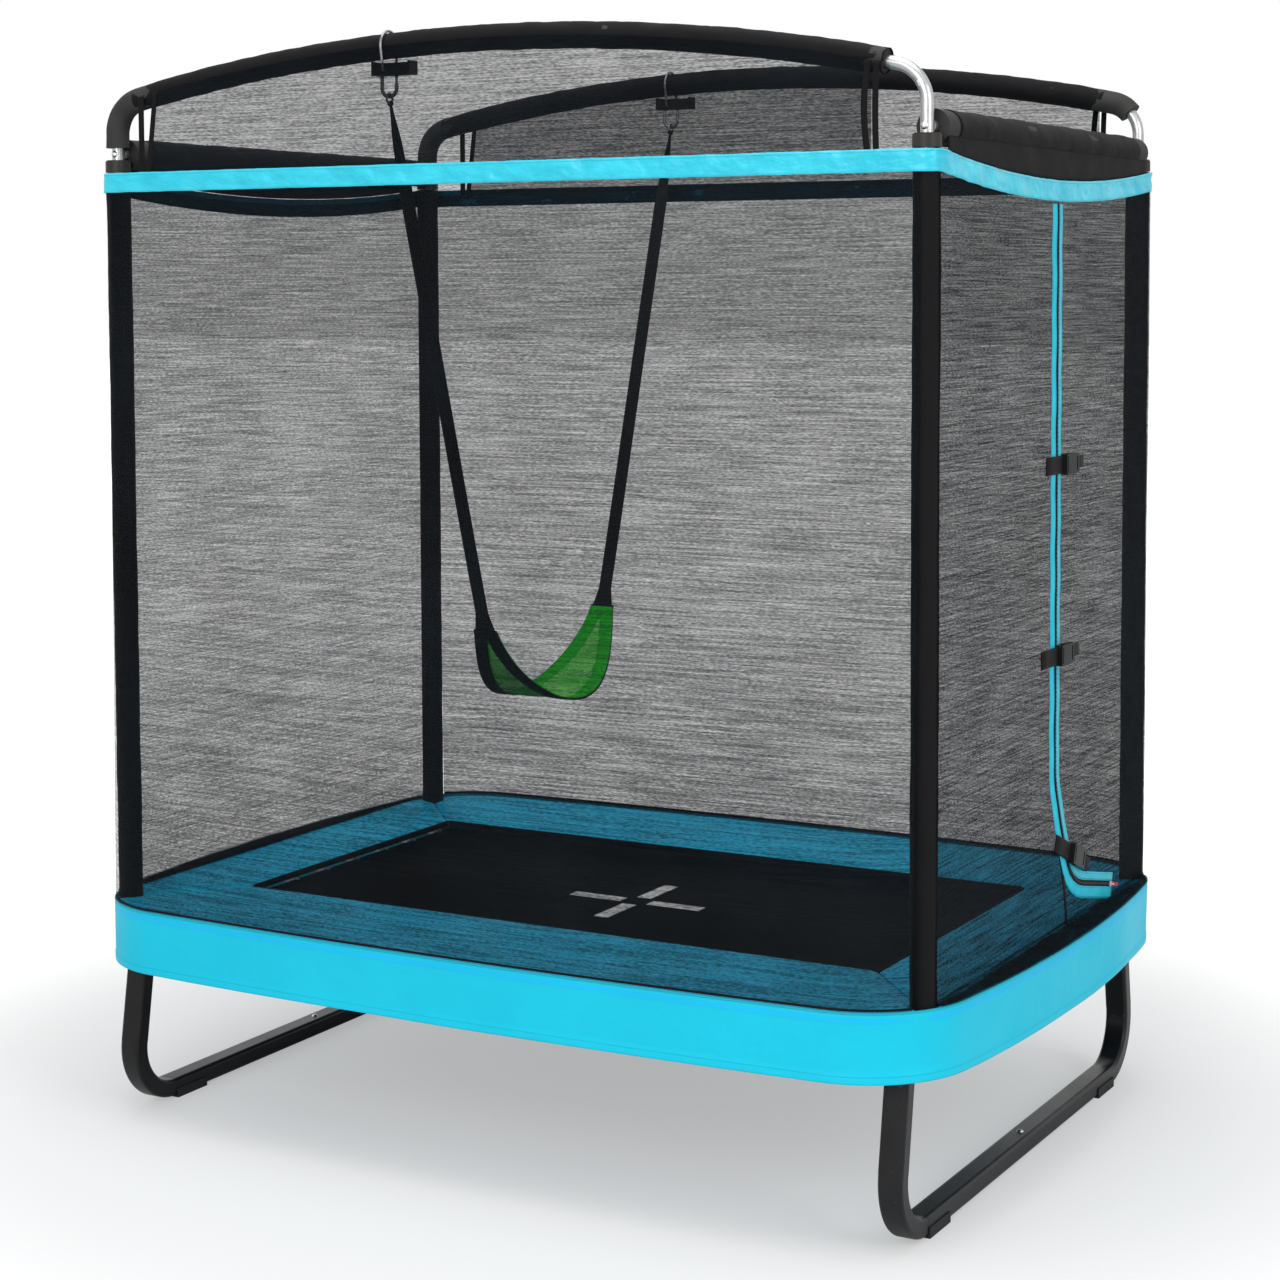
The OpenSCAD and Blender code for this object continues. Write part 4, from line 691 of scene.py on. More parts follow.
class Skin:
    """A mesh under construction whose open end is carried along straights and arcs."""

    def __init__(self) -> None:
        """Start with an empty mesh."""
        self.bm = bmesh.new()
        self.verts: list[bmesh.types.BMVert] = []
        self.edges: list[bmesh.types.BMEdge] = []

    def take(self, geometry: Sequence[object]) -> None:
        """Make new geometry the open end.

        Args:
            geometry: Points, edges and faces of the new geometry.
        """
        self.verts = [g for g in geometry if isinstance(g, bmesh.types.BMVert)]
        inside = set(self.verts)
        edges = dict.fromkeys(e for v in self.verts for e in v.link_edges)
        self.edges = [e for e in edges if e.verts[0] in inside and e.verts[1] in inside]

    def ring(self, radius: float, sides: int, place: Matrix) -> "Skin":
        """Start a tube with a circle whose axis is the Z of place.

        Args:
            radius: Radius of the circle.
            sides: Number of its sides.
            place: Its place and direction.

        Returns:
            The skin itself.
        """
        made = bmesh.ops.create_circle(self.bm, cap_ends=False, radius=radius, segments=sides, matrix=place)
        self.take(made["verts"])
        return self

    def line(self, points: Sequence[Sequence[float]]) -> "Skin":
        """Start a ribbon with an open line through the points.

        Args:
            points: Points of the line.

        Returns:
            The skin itself.
        """
        made = bmesh.ops.create_vert(self.bm, co=points[0])["vert"]
        found = [made[0]] if isinstance(made, list) else [made]
        for point in points[1:]:
            grown = bmesh.ops.extrude_vert_indiv(self.bm, verts=[found[-1]])["verts"][0]
            grown.co = point
            found.append(grown)
        self.take(found)
        return self

    def straight(self, way: Sequence[float], steps: int = 1) -> "Skin":
        """Carry the open end along a vector.

        Args:
            way: The vector.
            steps: Number of steps.

        Returns:
            The skin itself.
        """
        for _ in range(steps):
            made = bmesh.ops.extrude_edge_only(self.bm, edges=self.edges)
            self.take(made["geom"])
            bmesh.ops.translate(self.bm, verts=self.verts, vec=Vector(way) / steps)
        return self

    def arc(
        self, centre: Sequence[float], axis: Sequence[float], angle: float, steps: int,
        rise: float = 0.0, closed: bool = False,
    ) -> "Skin":
        """Carry the open end round an axis.

        Args:
            centre: Point on the axis.
            axis: Direction of the axis.
            angle: Angle in radians.
            steps: Number of steps.
            rise: Shift along X at each step, for a coil.
            closed: Whether the last step is joined to the first, which leaves no open end.

        Returns:
            The skin itself.
        """
        made = bmesh.ops.spin(
            self.bm, geom=self.verts + self.edges, cent=centre, axis=axis, dvec=(rise, 0, 0), angle=angle,
            steps=steps, use_merge=closed, use_normal_flip=False, use_duplicate=False,
        )
        if not closed:
            self.take(made["geom_last"])
        return self

    def widen(self, share: float) -> "Skin":
        """Grow or shrink the open end about its middle, leaving a flat rim behind it.

        Args:
            share: Size of the new end as a share of the old.

        Returns:
            The skin itself.
        """
        made = bmesh.ops.extrude_edge_only(self.bm, edges=self.edges)
        self.take(made["geom"])
        middle = sum((v.co for v in self.verts), Vector()) / len(self.verts)
        for v in self.verts:
            v.co = middle + (v.co - middle) * share
        return self

    def mirrored(self, *axes: str) -> "Skin":
        """Add the mirror image across each axis and join it on.

        Args:
            axes: Names of the axes.

        Returns:
            The skin itself.
        """
        for axis in axes:
            bmesh.ops.mirror(
                self.bm, geom=list(self.bm.verts) + list(self.bm.edges) + list(self.bm.faces),
                matrix=Matrix.Identity(4), merge_dist=1e-4, axis=axis,
            )
        return self

    def moved(self, change: Callable[[Vector], Vector]) -> "Skin":
        """Move each point as a function says.

        Args:
            change: Gives the new place of a point.

        Returns:
            The skin itself.
        """
        for v in self.bm.verts:
            v.co = change(v.co)
        return self

    def seams(self, rule: Callable[[Vector], tuple[float, float]]) -> "Skin":
        """Store how far each point lies along and beside its seam.

        Args:
            rule: Gives both lengths for a point.

        Returns:
            The skin itself.
        """
        along, beside = (self.bm.verts.layers.float.new(label) for label in SEAM_LAYERS)
        for v in self.bm.verts:
            v[along], v[beside] = rule(v.co)
        return self

    def done(self, name: str, finish: Finish) -> bpy.types.Object:
        """Close doubles, turn faces outwards and return the object.

        Args:
            name: Name of the piece.
            finish: Its finish.

        Returns:
            The new object, at the origin.
        """
        bmesh.ops.remove_doubles(self.bm, verts=self.bm.verts, dist=1e-6)
        bmesh.ops.recalc_face_normals(self.bm, faces=self.bm.faces)
        return made_object(self.bm, name, finish)


SHARP_ANGLE = math.radians(38)


def made_mesh(bm: bmesh.types.BMesh, name: str) -> bpy.types.Mesh:
    """Turn a bmesh into a mesh and free the bmesh.

    Args:
        bm: The bmesh.
        name: Name of the mesh.

    Returns:
        The mesh.
    """
    mesh = bpy.data.meshes.new(name)
    bm.to_mesh(mesh)
    bm.free()
    return mesh


def made_object(bm: bmesh.types.BMesh, name: str, *finishes: Finish) -> bpy.types.Object:
    """Turn a bmesh into a smooth-shaded object with its finishes and free the bmesh.

    Args:
        bm: The bmesh.
        name: Name of the piece.
        finishes: Its finishes, in the order of its slots.

    Returns:
        The new object, at the origin.
    """
    mesh = made_mesh(bm, name)
    mesh.polygons.foreach_set("use_smooth", [True] * len(mesh.polygons))
    mesh.set_sharp_from_angle(angle=SHARP_ANGLE)
    for finish in finishes:
        mesh.materials.append(finish.material())
    made = bpy.data.objects.new(name, mesh)
    bpy.context.scene.collection.objects.link(made)
    LOG.info("%s: %d faces", name, len(mesh.polygons))
    return made


def grid(
    across: int, down: int, place: Callable[[float, float], Sequence[float]],
    seam: Callable[[float, float], tuple[float, float]] | None = None,
) -> Skin:
    """A square grid that is laid out by a function of two shares from 0 to 1.

    Args:
        across: Cells along the first share.
        down: Cells along the second share.
        place: Gives the point for each pair of shares.
        seam: Gives how far a point lies along and beside its seam.

    Returns:
        The laid-out grid.
    """
    skin = Skin()
    bmesh.ops.create_grid(skin.bm, x_segments=across, y_segments=down, size=0.5)
    layers = [skin.bm.verts.layers.float.new(label) for label in SEAM_LAYERS] if seam else []
    for v in skin.bm.verts:
        u, w = v.co.x + 0.5, v.co.y + 0.5
        if seam:
            v[layers[0]], v[layers[1]] = seam(u, w)
        v.co = place(u, w)
    return skin


def thickened(piece: bpy.types.Object, thickness: float, offset: float = 0.0) -> bpy.types.Object:
    """Give a sheet its thickness with a Solidify modifier.

    Args:
        piece: The piece.
        thickness: Thickness in metres.
        offset: Side that it grows to, from -1 to 1.

    Returns:
        The piece.
    """
    wall = piece.modifiers.new("thickness", "SOLIDIFY")
    wall.thickness = thickness
    wall.offset = offset
    wall.use_even_offset = False
    return piece


def rides(piece: bpy.types.Object, body: str, slot: str, *nodes: str) -> bpy.types.Object:
    """Put a piece on its body and hide the nodes that it stands for.

    Args:
        piece: The piece.
        body: Body that it moves with.
        slot: Not used.
        nodes: Nodes that it stands for.

    Returns:
        The piece.
    """
    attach(piece, body)
    if nodes:
        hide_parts(*nodes)
    return piece


def dressed(finish: Finish, *names: str) -> None:
    """Give the named CAD nodes a finish in all their slots.

    Args:
        finish: The finish.
        names: Names of the nodes.
    """
    for name in names:
        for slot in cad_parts[name].material_slots:
            slot.material = finish.material()
        LOG.info("%s: %s", name, finish.name)


def ribbon(
    points: Sequence[Vector], side: Sequence[Vector], width: Callable[[float], float], cells: int
) -> Skin:
    """A flat strip along a line of points, as wide as a function of its share of length says.

    Args:
        points: Points of the middle line.
        side: Direction across the strip at each point.
        width: Width at a share of the length.
        cells: Cells across the strip.

    Returns:
        The strip, with stitch lines near both edges.
    """
    last = len(points) - 1
    lengths = [0.0]
    for a, b in zip(points, points[1:]):
        lengths.append(lengths[-1] + (b - a).length)

    def place(u: float, w: float) -> Vector:
        """Lay a cell's corner out."""
        i = min(last, max(0, round(u * last)))
        return points[i] + side[i] * ((w - 0.5) * width(u))

    def seam(u: float, w: float) -> tuple[float, float]:
        """Give how far a corner lies along and beside the seam."""
        i = min(last, max(0, round(u * last)))
        return lengths[i], width(u) * (0.5 - abs(w - 0.5)) - 0.003

    return grid(last, cells, place, seam)


def facing(x: float, y: float, z: float, turn: float, axis: str) -> Matrix:
    """A place whose Z axis is turned by an angle in degrees about one axis."""
    return Matrix.Translation((x, y, z)) @ Matrix.Rotation(math.radians(turn), 4, axis)


def headings(points: Sequence[Vector]) -> list[Vector]:
    """Direction of a line of points at each of its points."""
    last = len(points) - 1
    return [(points[min(i + 1, last)] - points[max(i - 1, 0)]).normalized() for i in range(last + 1)]


# ------------------------------------------------------------------ frame


@dataclass
class Frame:
    """Rigid frame: rails, legs, shoes, bolts, posts, arches and caps keep their CAD shape."""

    def build(self) -> None:
        """Dress the rigid nodes."""
        dressed(FRAME_PAINT, "front_rail", "rear_rail", "left_frame_end", "right_frame_end")
        for corner in CORNERS:
            dressed(FRAME_PAINT, f"leg_{corner}")
            dressed(GALVANISED, f"post_{corner}", f"elbow_{corner}")
        dressed(FOOT_PLASTIC, "foot_pads")
        dressed(ZINC, "corner_bolts", "dome_bolts")
        dressed(GALVANISED, "arch_tube_front", "arch_tube_rear", "cross_bars")
        dressed(CAP_PLASTIC, "post_caps")


# ------------------------------------------------------------------ mat and springs


@dataclass
class Springs:
    """Coil springs between the frame and the mat, bent over to the mat as it sinks."""

    mat_l: float = 1.424
    mat_w: float = 0.93
    on_long: int = 12
    on_short: int = 8
    coil_r: float = 0.00575
    wire_r: float = 0.00125
    hook_r: float = 0.0055
    hook_x: float = 0.00955
    turns: int = 30
    steps_a_turn: int = 9
    corner_long: float = 0.2
    corner_short: float = 0.18
    shank: float = 0.031
    bend: float = 0.0122

    def coil(self) -> bpy.types.Mesh:
        """One coil of unit length along X.

        Returns:
            The mesh.
        """
        steps = self.turns * self.steps_a_turn
        skin = Skin().ring(self.wire_r, 5, facing(0, 0, self.coil_r, 90, "X"))
        skin.arc((0, 0, 0), (1, 0, 0), 2 * math.pi * self.turns, steps, rise=1 / steps)
        bmesh.ops.recalc_face_normals(skin.bm, faces=skin.bm.faces)
        return made_mesh(skin.bm, "coil")

    def hooks(self, length: float) -> bpy.types.Mesh:
        """Inner ring hook and outer hook of one spring of the given length, along X.

        Args:
            length: Length of the spring.

        Returns:
            The mesh.
        """
        skin = Skin().ring(self.wire_r, 6, facing(self.hook_x + self.hook_r, 0, 0, 90, "X"))
        skin.arc((self.hook_x, 0, 0), UP, 2 * math.pi, 14, closed=True)
        start_x, turn_x = length - self.shank, length - self.bend
        skin.ring(self.wire_r, 6, facing(start_x, 0, 0, 90, "Y"))
        skin.straight((turn_x - start_x, 0, 0)).arc((turn_x, 0, -0.003), (0, 1, 0), math.pi / 2, 5)
        skin.straight((0, 0, -0.005)).widen(0.1)
        bmesh.ops.recalc_face_normals(skin.bm, faces=skin.bm.faces)
        return made_mesh(skin.bm, "hooks")

    def row(self, long_side: bool, sign: int) -> list[tuple[float, float, float, float]]:
        """Mat edge point, length and direction of each spring of one side.

        Args:
            long_side: Whether the side lies along X.
            sign: Side of the origin that it lies on.

        Returns:
            Mat edge point, length and direction in degrees of each spring.
        """
        found = []
        count, span = self.on_short, self.mat_w - self.corner_short
        if long_side:
            count, span = self.on_long, self.mat_l - self.corner_long
        for i in range(count):
            along = (i / (count - 1) - 0.5) * span
            if long_side:
                start, end = self.mat_w / 2, PLAN.edge_y(along) - PLAN.frame_inset
                found.append((along, sign * start, end - start, sign * 90.0))
            else:
                start, end = self.mat_l / 2, PLAN.edge_x(along) - PLAN.frame_inset
                found.append((sign * start, along, end - start, 0.0 if sign > 0 else 180.0))
        return found

    def build(self) -> None:
        """Build the four rows of springs."""
        coil = self.coil()
        for name, long_side, sign in SIDES:
            bm = bmesh.new()
            for x, y, length, turn in self.row(long_side, sign):
                place = facing(x, y, PLAN.mat_z, turn, "Z")
                body_x0, body_x1 = self.hook_x + self.hook_r, length - 0.03
                stretch = Matrix.Translation((body_x0, 0, 0)) @ Matrix.Diagonal((body_x1 - body_x0, 1, 1, 1))
                hooks = self.hooks(length)
                for mesh, inner in ((coil, stretch), (hooks, Matrix.Identity(4))):
                    before = len(bm.verts)
                    bm.from_mesh(mesh)
                    bm.verts.ensure_lookup_table()
                    bmesh.ops.transform(bm, matrix=place @ inner, verts=bm.verts[before:])
                bpy.data.meshes.remove(hooks)
            piece = made_object(bm, f"coil_springs_{name}", SPRING_STEEL)
            out = (0, sign, 0) if long_side else (sign, 0, 0)
            near = (self.mat_w if long_side else self.mat_l) / 2
            far = (PLAN.half_w if long_side else PLAN.half_l) - PLAN.frame_inset - 0.012
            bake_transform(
                piece, "trampoline", "mat",
                start=tuple(c * far for c in out), end=tuple(c * near for c in out),
            )
            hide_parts("springs")
        bpy.data.meshes.remove(coil)
        dressed(ZINC, "mat_rings")


@dataclass
class Mat:
    """Jumping mat with its sewn hem, eyelets and the cross mark."""

    length: float = 1.424
    width: float = 0.93
    hem: float = 0.045
    round_r: float = 0.04
    thickness: float = 0.0025
    step_run: float = 0.0015
    step_drop: float = 0.0006
    eyelet_in: float = 0.004
    eyelet_lift: float = 0.0017

    def build(self) -> None:
        """Build the mat and dress its marks."""
        skin = Skin()
        bm = skin.bm
        bmesh.ops.create_grid(bm, x_segments=1, y_segments=1, size=0.5)
        bmesh.ops.scale(bm, vec=(self.length, self.width, 1), verts=bm.verts)
        bmesh.ops.bevel(
            bm, geom=list(bm.verts), affect="VERTICES", offset=self.round_r, offset_type="OFFSET", segments=8,
            profile=0.5, material=-1,
        )
        rim = bmesh.ops.inset_region(
            bm, faces=list(bm.faces), thickness=self.hem, depth=0.0, use_even_offset=True
        )["faces"]
        inner = [f for f in bm.faces if f not in set(rim)]
        bmesh.ops.inset_region(
            bm, faces=inner, thickness=self.step_run, depth=-self.step_drop, use_even_offset=True
        )
        bmesh.ops.triangulate(bm, faces=[f for f in bm.faces if len(f.verts) > 4])
        bmesh.ops.translate(bm, verts=bm.verts, vec=(0, 0, PLAN.mat_z))
        half_l, half_w, hem = self.length / 2, self.width / 2, self.hem

        def hem_line(p: Vector) -> tuple[float, float]:
            """Give how far a point lies along and beside the hem's seam."""
            inside = min(half_l - abs(p.x), half_w - abs(p.y))
            return p.x + p.y, inside - hem + 0.004

        skin.seams(hem_line)
        mat = thickened(skin.done("jump_mat", MAT), self.thickness - 0.0004)
        rides(mat, "mat", "mat_cloth", "jumping_mat")
        self.eyelets()
        dressed(MAT_MARK, "mat_cross")

    def eyelets(self) -> None:
        """Set an eyelet on both faces of the hem at each spring."""
        bm = bmesh.new()
        springs = Springs()
        rows = [springs.row(long_side, sign) for long_side in (True, False) for sign in (-1, 1)]
        for x, y, _, turn in (spring for row in rows for spring in row):
            inward = Matrix.Rotation(math.radians(turn), 4, "Z") @ Vector((-self.eyelet_in, 0, 0))
            for side in (-1, 1):
                place = Matrix.Translation((x + inward.x, y + inward.y, PLAN.mat_z + side * self.eyelet_lift))
                made = bmesh.ops.create_cone(
                    bm, cap_ends=False, segments=14, radius1=0.0052, radius2=0.0030, depth=0.0012,
                    matrix=place @ Matrix.Diagonal((1, 1, side, 1)),
                )
                if side < 0:
                    faces = {f for v in made["verts"] for f in v.link_faces}
                    bmesh.ops.reverse_faces(bm, faces=list(faces))
        rides(made_object(bm, "mat_eyelets", ZINC), "mat", "zinc_fasteners")


# ------------------------------------------------------------------ pad and skirt


@dataclass
class Pad:
    """Spring cover: four foam pads with mitred corners, their piping and the skirt."""

    inset: float = 0.0026
    seam_gap: float = 0.0036
    # Steepness and reach of the inner walls round the opening that get painted shade.
    shaded_wall_slope: float = 0.35
    shaded_wall_reach: float = 0.006
    hole_r: float = 0.0248
    lift: float = 0.0004
    foam_t: float = 0.0178
    crease_h: float = 0.0009
    edge_reach: float = 0.009
    calm_reach: float = 0.02
    stitch_in: float = 0.012
    hem: float = 0.017
    skirt_in: float = 0.0012
    edge_bead: float = 0.0021
    opening_bead: float = 0.0028
    opening_turn: float = 0.012

    def mitre(self) -> tuple[float, float]:
        """Outer end of the mitre seam on the outline.

        Returns:
            X and Y of that point.
        """
        ax, ay = PLAN.open_l / 2, PLAN.open_w / 2
        dx, dy = PLAN.post_x - ax, PLAN.post_y - ay
        cx, cy = PLAN.corner
        r = PLAN.corner_r - self.inset
        a = dx * dx + dy * dy
        b = 2 * ((ax - cx) * dx + (ay - cy) * dy)
        c = (ax - cx) ** 2 + (ay - cy) ** 2 - r * r
        t = (-b + math.sqrt(b * b - 4 * a * c)) / (2 * a)
        return ax + t * dx, ay + t * dy

    def cushion(self, name: str, long_side: bool, sign: int, seed: float) -> None:
        """Build one pad.

        Args:
            name: Name of the side.
            long_side: Whether the pad lies along X.
            sign: Side of the origin that it lies on.
            seed: Shift of its creases.
        """
        mx, my = self.mitre()
        ax, ay = PLAN.open_l / 2, PLAN.open_w / 2
        base = PLAN.pad_z - PLAN.pad_t
        cells = (150, 34) if long_side else (84, 26)

        def spread(t: float) -> float:
            """Crowd the cells towards both edges."""
            return 0.55 * t + 0.45 * (0.5 - 0.5 * math.cos(math.pi * t))

        def plan(u: float, w: float) -> tuple[float, float, float, float]:
            """Lay a cell's corner out in plan.

            Args:
                u: Share of the way across the grid.
                w: Share of the way up the grid.

            Returns:
                X, Y, how deep the corner lies inside the pad, and its place along the pad.
            """
            s, t = 2 * spread(u) - 1, spread(w)
            if long_side:
                outer, inner = (s * mx, PLAN.edge_y(s * mx, self.inset)), (s * ax, ay)
                half, reach, share, across = ax, mx, 0.76, 1
            else:
                outer, inner = (PLAN.edge_x(s * my, self.inset), s * my), (ax, s * ay)
                half, reach, share, across = ay, my, 0.65, 0
            x, y = (i + (o - i) * t for i, o in zip(inner, outer))
            end = (1 - abs(s)) * (half + (reach - half) * t) * share
            deep = (outer[across] - inner[across]) * min(t, 1 - t)
            return x, y, min(end, deep), (x if long_side else y)

        skin = Skin()
        bm = skin.bm
        bmesh.ops.create_grid(bm, x_segments=cells[0], y_segments=cells[1], size=0.5)
        deep_of = bm.verts.layers.float.new("beside")
        run_of = bm.verts.layers.float.new("along")
        for v in bm.verts:
            x, y, deep, run = plan(v.co.x + 0.5, v.co.y + 0.5)
            hole_x = math.copysign(PLAN.post_x, x)
            hole_y = PLAN.post_y if long_side else math.copysign(PLAN.post_y, y)
            near = Vector((x - hole_x, y - hole_y))
            if near.length < self.hole_r:
                near = near.normalized() * self.hole_r if near.length > 1e-6 else Vector((0, self.hole_r))
                x, y = hole_x + near.x, hole_y + near.y
            v[deep_of], v[run_of] = deep, run
            v.co = (x, y, base + self.lift)
        top = bmesh.ops.extrude_face_region(bm, geom=list(bm.faces))["geom"]
        raised = [g for g in top if isinstance(g, bmesh.types.BMVert)]
        for v in raised:
            x, y, deep = v.co.x, v.co.y, v[deep_of]
            crown = 0.5 + 0.5 * (1 - math.exp(-deep / self.edge_reach))
            wave = ripple((x * 9 + seed, y * 9, seed, 0.7), (x * 34, y * 34 + seed, 3.0, 0.35))
            crease = self.crease_h * (wave - 0.4) * min(1.0, deep / self.calm_reach)
            v.co.z = base + self.lift + self.foam_t * crown + crease
        gap = self.seam_gap / 2
        shrink = Vector((0, gap, 0) if long_side else (gap, 0, 0))
        bmesh.ops.translate(bm, verts=bm.verts, vec=shrink)
        for v in bm.verts:
            v[deep_of] = v[deep_of] - self.stitch_in
        flip = Matrix.Diagonal((1, sign, 1, 1) if long_side else (sign, 1, 1, 1))
        bmesh.ops.transform(bm, matrix=flip, verts=bm.verts)
        # Painted shade: the steep inner walls round the opening get the black binding cloth in slot 1, for the
        # shade between the pad and the mat.
        for face in bm.faces:
            face.normal_update()
            middle = face.calc_center_median()
            inside = abs(middle.x) < ax + self.shaded_wall_reach and abs(middle.y) < ay + self.shaded_wall_reach
            if inside and abs(face.normal.z) < self.shaded_wall_slope:
                face.material_index = 1
        piece = rides(skin.done(f"pad_cushion_{name}", PAD), "trampoline", "pad_cover", f"pad_{name}")
        piece.data.materials.append(BINDING.material())

    def round_outline(self, skin: Skin) -> Skin:
        """Carry the open end round a quarter of the outline and mirror it to the other three.

        Args:
            skin: The skin whose end is carried.

        Returns:
            The same skin.
        """
        skin.arc((0, PLAN.half_w - PLAN.long_r, 0), UP, PLAN.long_end - math.pi / 2, 44)
        skin.arc((*PLAN.corner, 0), UP, PLAN.short_end - PLAN.long_end, 26)
        skin.arc((PLAN.half_l - PLAN.short_r, 0, 0), UP, -PLAN.short_end, 30)
        return skin.mirrored("X", "Y")

    def skirt(self) -> None:
        """Build the hanging skirt with its hem and soft ripples."""
        low, top = PLAN.pad_z - PLAN.skirt_h, PLAN.pad_z - 0.0016
        seam = low + self.hem
        steps = 14
        profile = [
            (0.0006 - self.skirt_in, low + 0.0008), (-0.0004, low + 0.004),
            (-0.0002, seam - 0.002), (-0.0013, seam),
        ]
        profile += [(-self.skirt_in, seam + (top - low - self.hem) * i / steps) for i in range(1, steps + 1)]
        skin = self.round_outline(Skin().line([(0, PLAN.half_w + out, up) for out, up in profile]))

        def rippled(p: Vector) -> Vector:
            """Ripple the cloth, more towards its foot.

            Args:
                p: Point of the mesh.

            Returns:
                Where the point goes.
            """
            hang = (top - p.z) / (top - low)
            flat = Vector((p.x, p.y, 0.0))
            out = flat.normalized() if flat.length else Vector((0, 1, 0))
            wave = ripple(
                (p.x * 3.1, p.y * 3.1, 4.0 + p.z * 2, 0.0026), (p.x * 9.0, p.y * 9.0, 9.0 + p.z * 5, 0.0011)
            )
            return p + out * ((wave - 0.0008) * hang)

        skin.moved(rippled)
        skin.seams(lambda p: (p.x + p.y, p.z - low - self.hem + 0.003))
        piece = thickened(skin.done("skirt_cloth", SKIRT), PLAN.thin_t, -1.0)
        rides(piece, "trampoline", "skirt_cover", "skirt")

    def piping(self) -> None:
        """Build the beads along the outline and round the opening."""
        bead = self.edge_bead
        skin = Skin().ring(bead, 8, facing(0, PLAN.half_w - 0.0024, PLAN.pad_z - bead - 0.0002, 90, "Y"))
        rides(self.round_outline(skin).done("pad_edge_piping", SKIRT), "trampoline", "skirt_cover")
        turn = self.opening_turn
        ax, ay = PLAN.open_l / 2 + 0.0005, PLAN.open_w / 2 + 0.0005
        skin = Skin().ring(self.opening_bead, 8, facing(0, ay, PLAN.pad_z - 0.0075, 90, "Y"))
        skin.straight((ax - turn, 0, 0), 4).arc((ax - turn, ay - turn, 0), UP, -math.pi / 2, 8)
        skin.straight((0, -(ay - turn), 0), 4).mirrored("X", "Y")
        rides(skin.done("pad_opening_piping", BINDING), "trampoline", "pad_cover")

    def build(self) -> None:
        """Build all cushions, the skirt and the piping."""
        for (name, long_side, sign), seed in zip(SIDES, (1.3, 5.1, 8.7, 12.9)):
            self.cushion(name, long_side, sign, seed)
        self.skirt()
        self.piping()


# ------------------------------------------------------------------ posts


@dataclass
class Posts:
    """Foam and fabric sleeves of the four posts."""

    low: float = 0.3985
    high: float = 1.8115
    bore: float = 0.0129
    welt_h: float = 0.0011
    welt_angle: float = 0.09

    def build(self) -> None:
        """Build the foams and the sleeves."""
        for i, (name, (sx, sy)) in enumerate(CORNERS.items()):
            x, y = sx * PLAN.post_x, sy * PLAN.post_y
            skin = Skin().ring(self.bore, 20, facing(x, y, self.low, 0, "Z"))
            skin.widen(PLAN.foam_r / self.bore * 0.985)
            skin.straight((0, 0, self.high - self.low - 0.002), 30).widen(self.bore / PLAN.foam_r)
            foam = rides(skin.done(f"post_foam_{name}", FOAM), "trampoline", "foam", "post_foams")
            skin = Skin().ring(PLAN.sleeve_skin, 40, facing(x, y, self.low, 0, "Z"))
            skin.straight((0, 0, self.high - self.low), 150)
            seed = 3.1 * i + 1.7

            def cloth(p: Vector) -> Vector:
                """Ruffle the sleeve and raise its welt.

                Args:
                    p: Point of the mesh.

                Returns:
                    Where the point goes.
                """
                out = Vector((p.x - x, p.y - y, 0))
                angle = math.atan2(out.y, out.x)
                wave = ripple(
                    (math.cos(angle) * 1.4, math.sin(angle) * 1.4 + seed, p.z * 11, 0.0011),
                    (angle * 0.8, seed, p.z * 46, 0.0005),
                )
                turn = abs((angle - math.atan2(-sy, sx) + math.pi) % (2 * math.pi) - math.pi)
                welt = self.welt_h * math.exp(-((turn / self.welt_angle) ** 2))
                return p + out.normalized() * min(PLAN.cloth_slack, wave - 0.0004 + welt)

            skin.moved(cloth)
            sleeve = thickened(skin.done(f"post_sleeve_{name}", SLEEVE), PLAN.cloth_t, -1.0)
            rides(sleeve, "trampoline", "sleeve_cloth", "post_sleeves")


# ------------------------------------------------------------------ arches


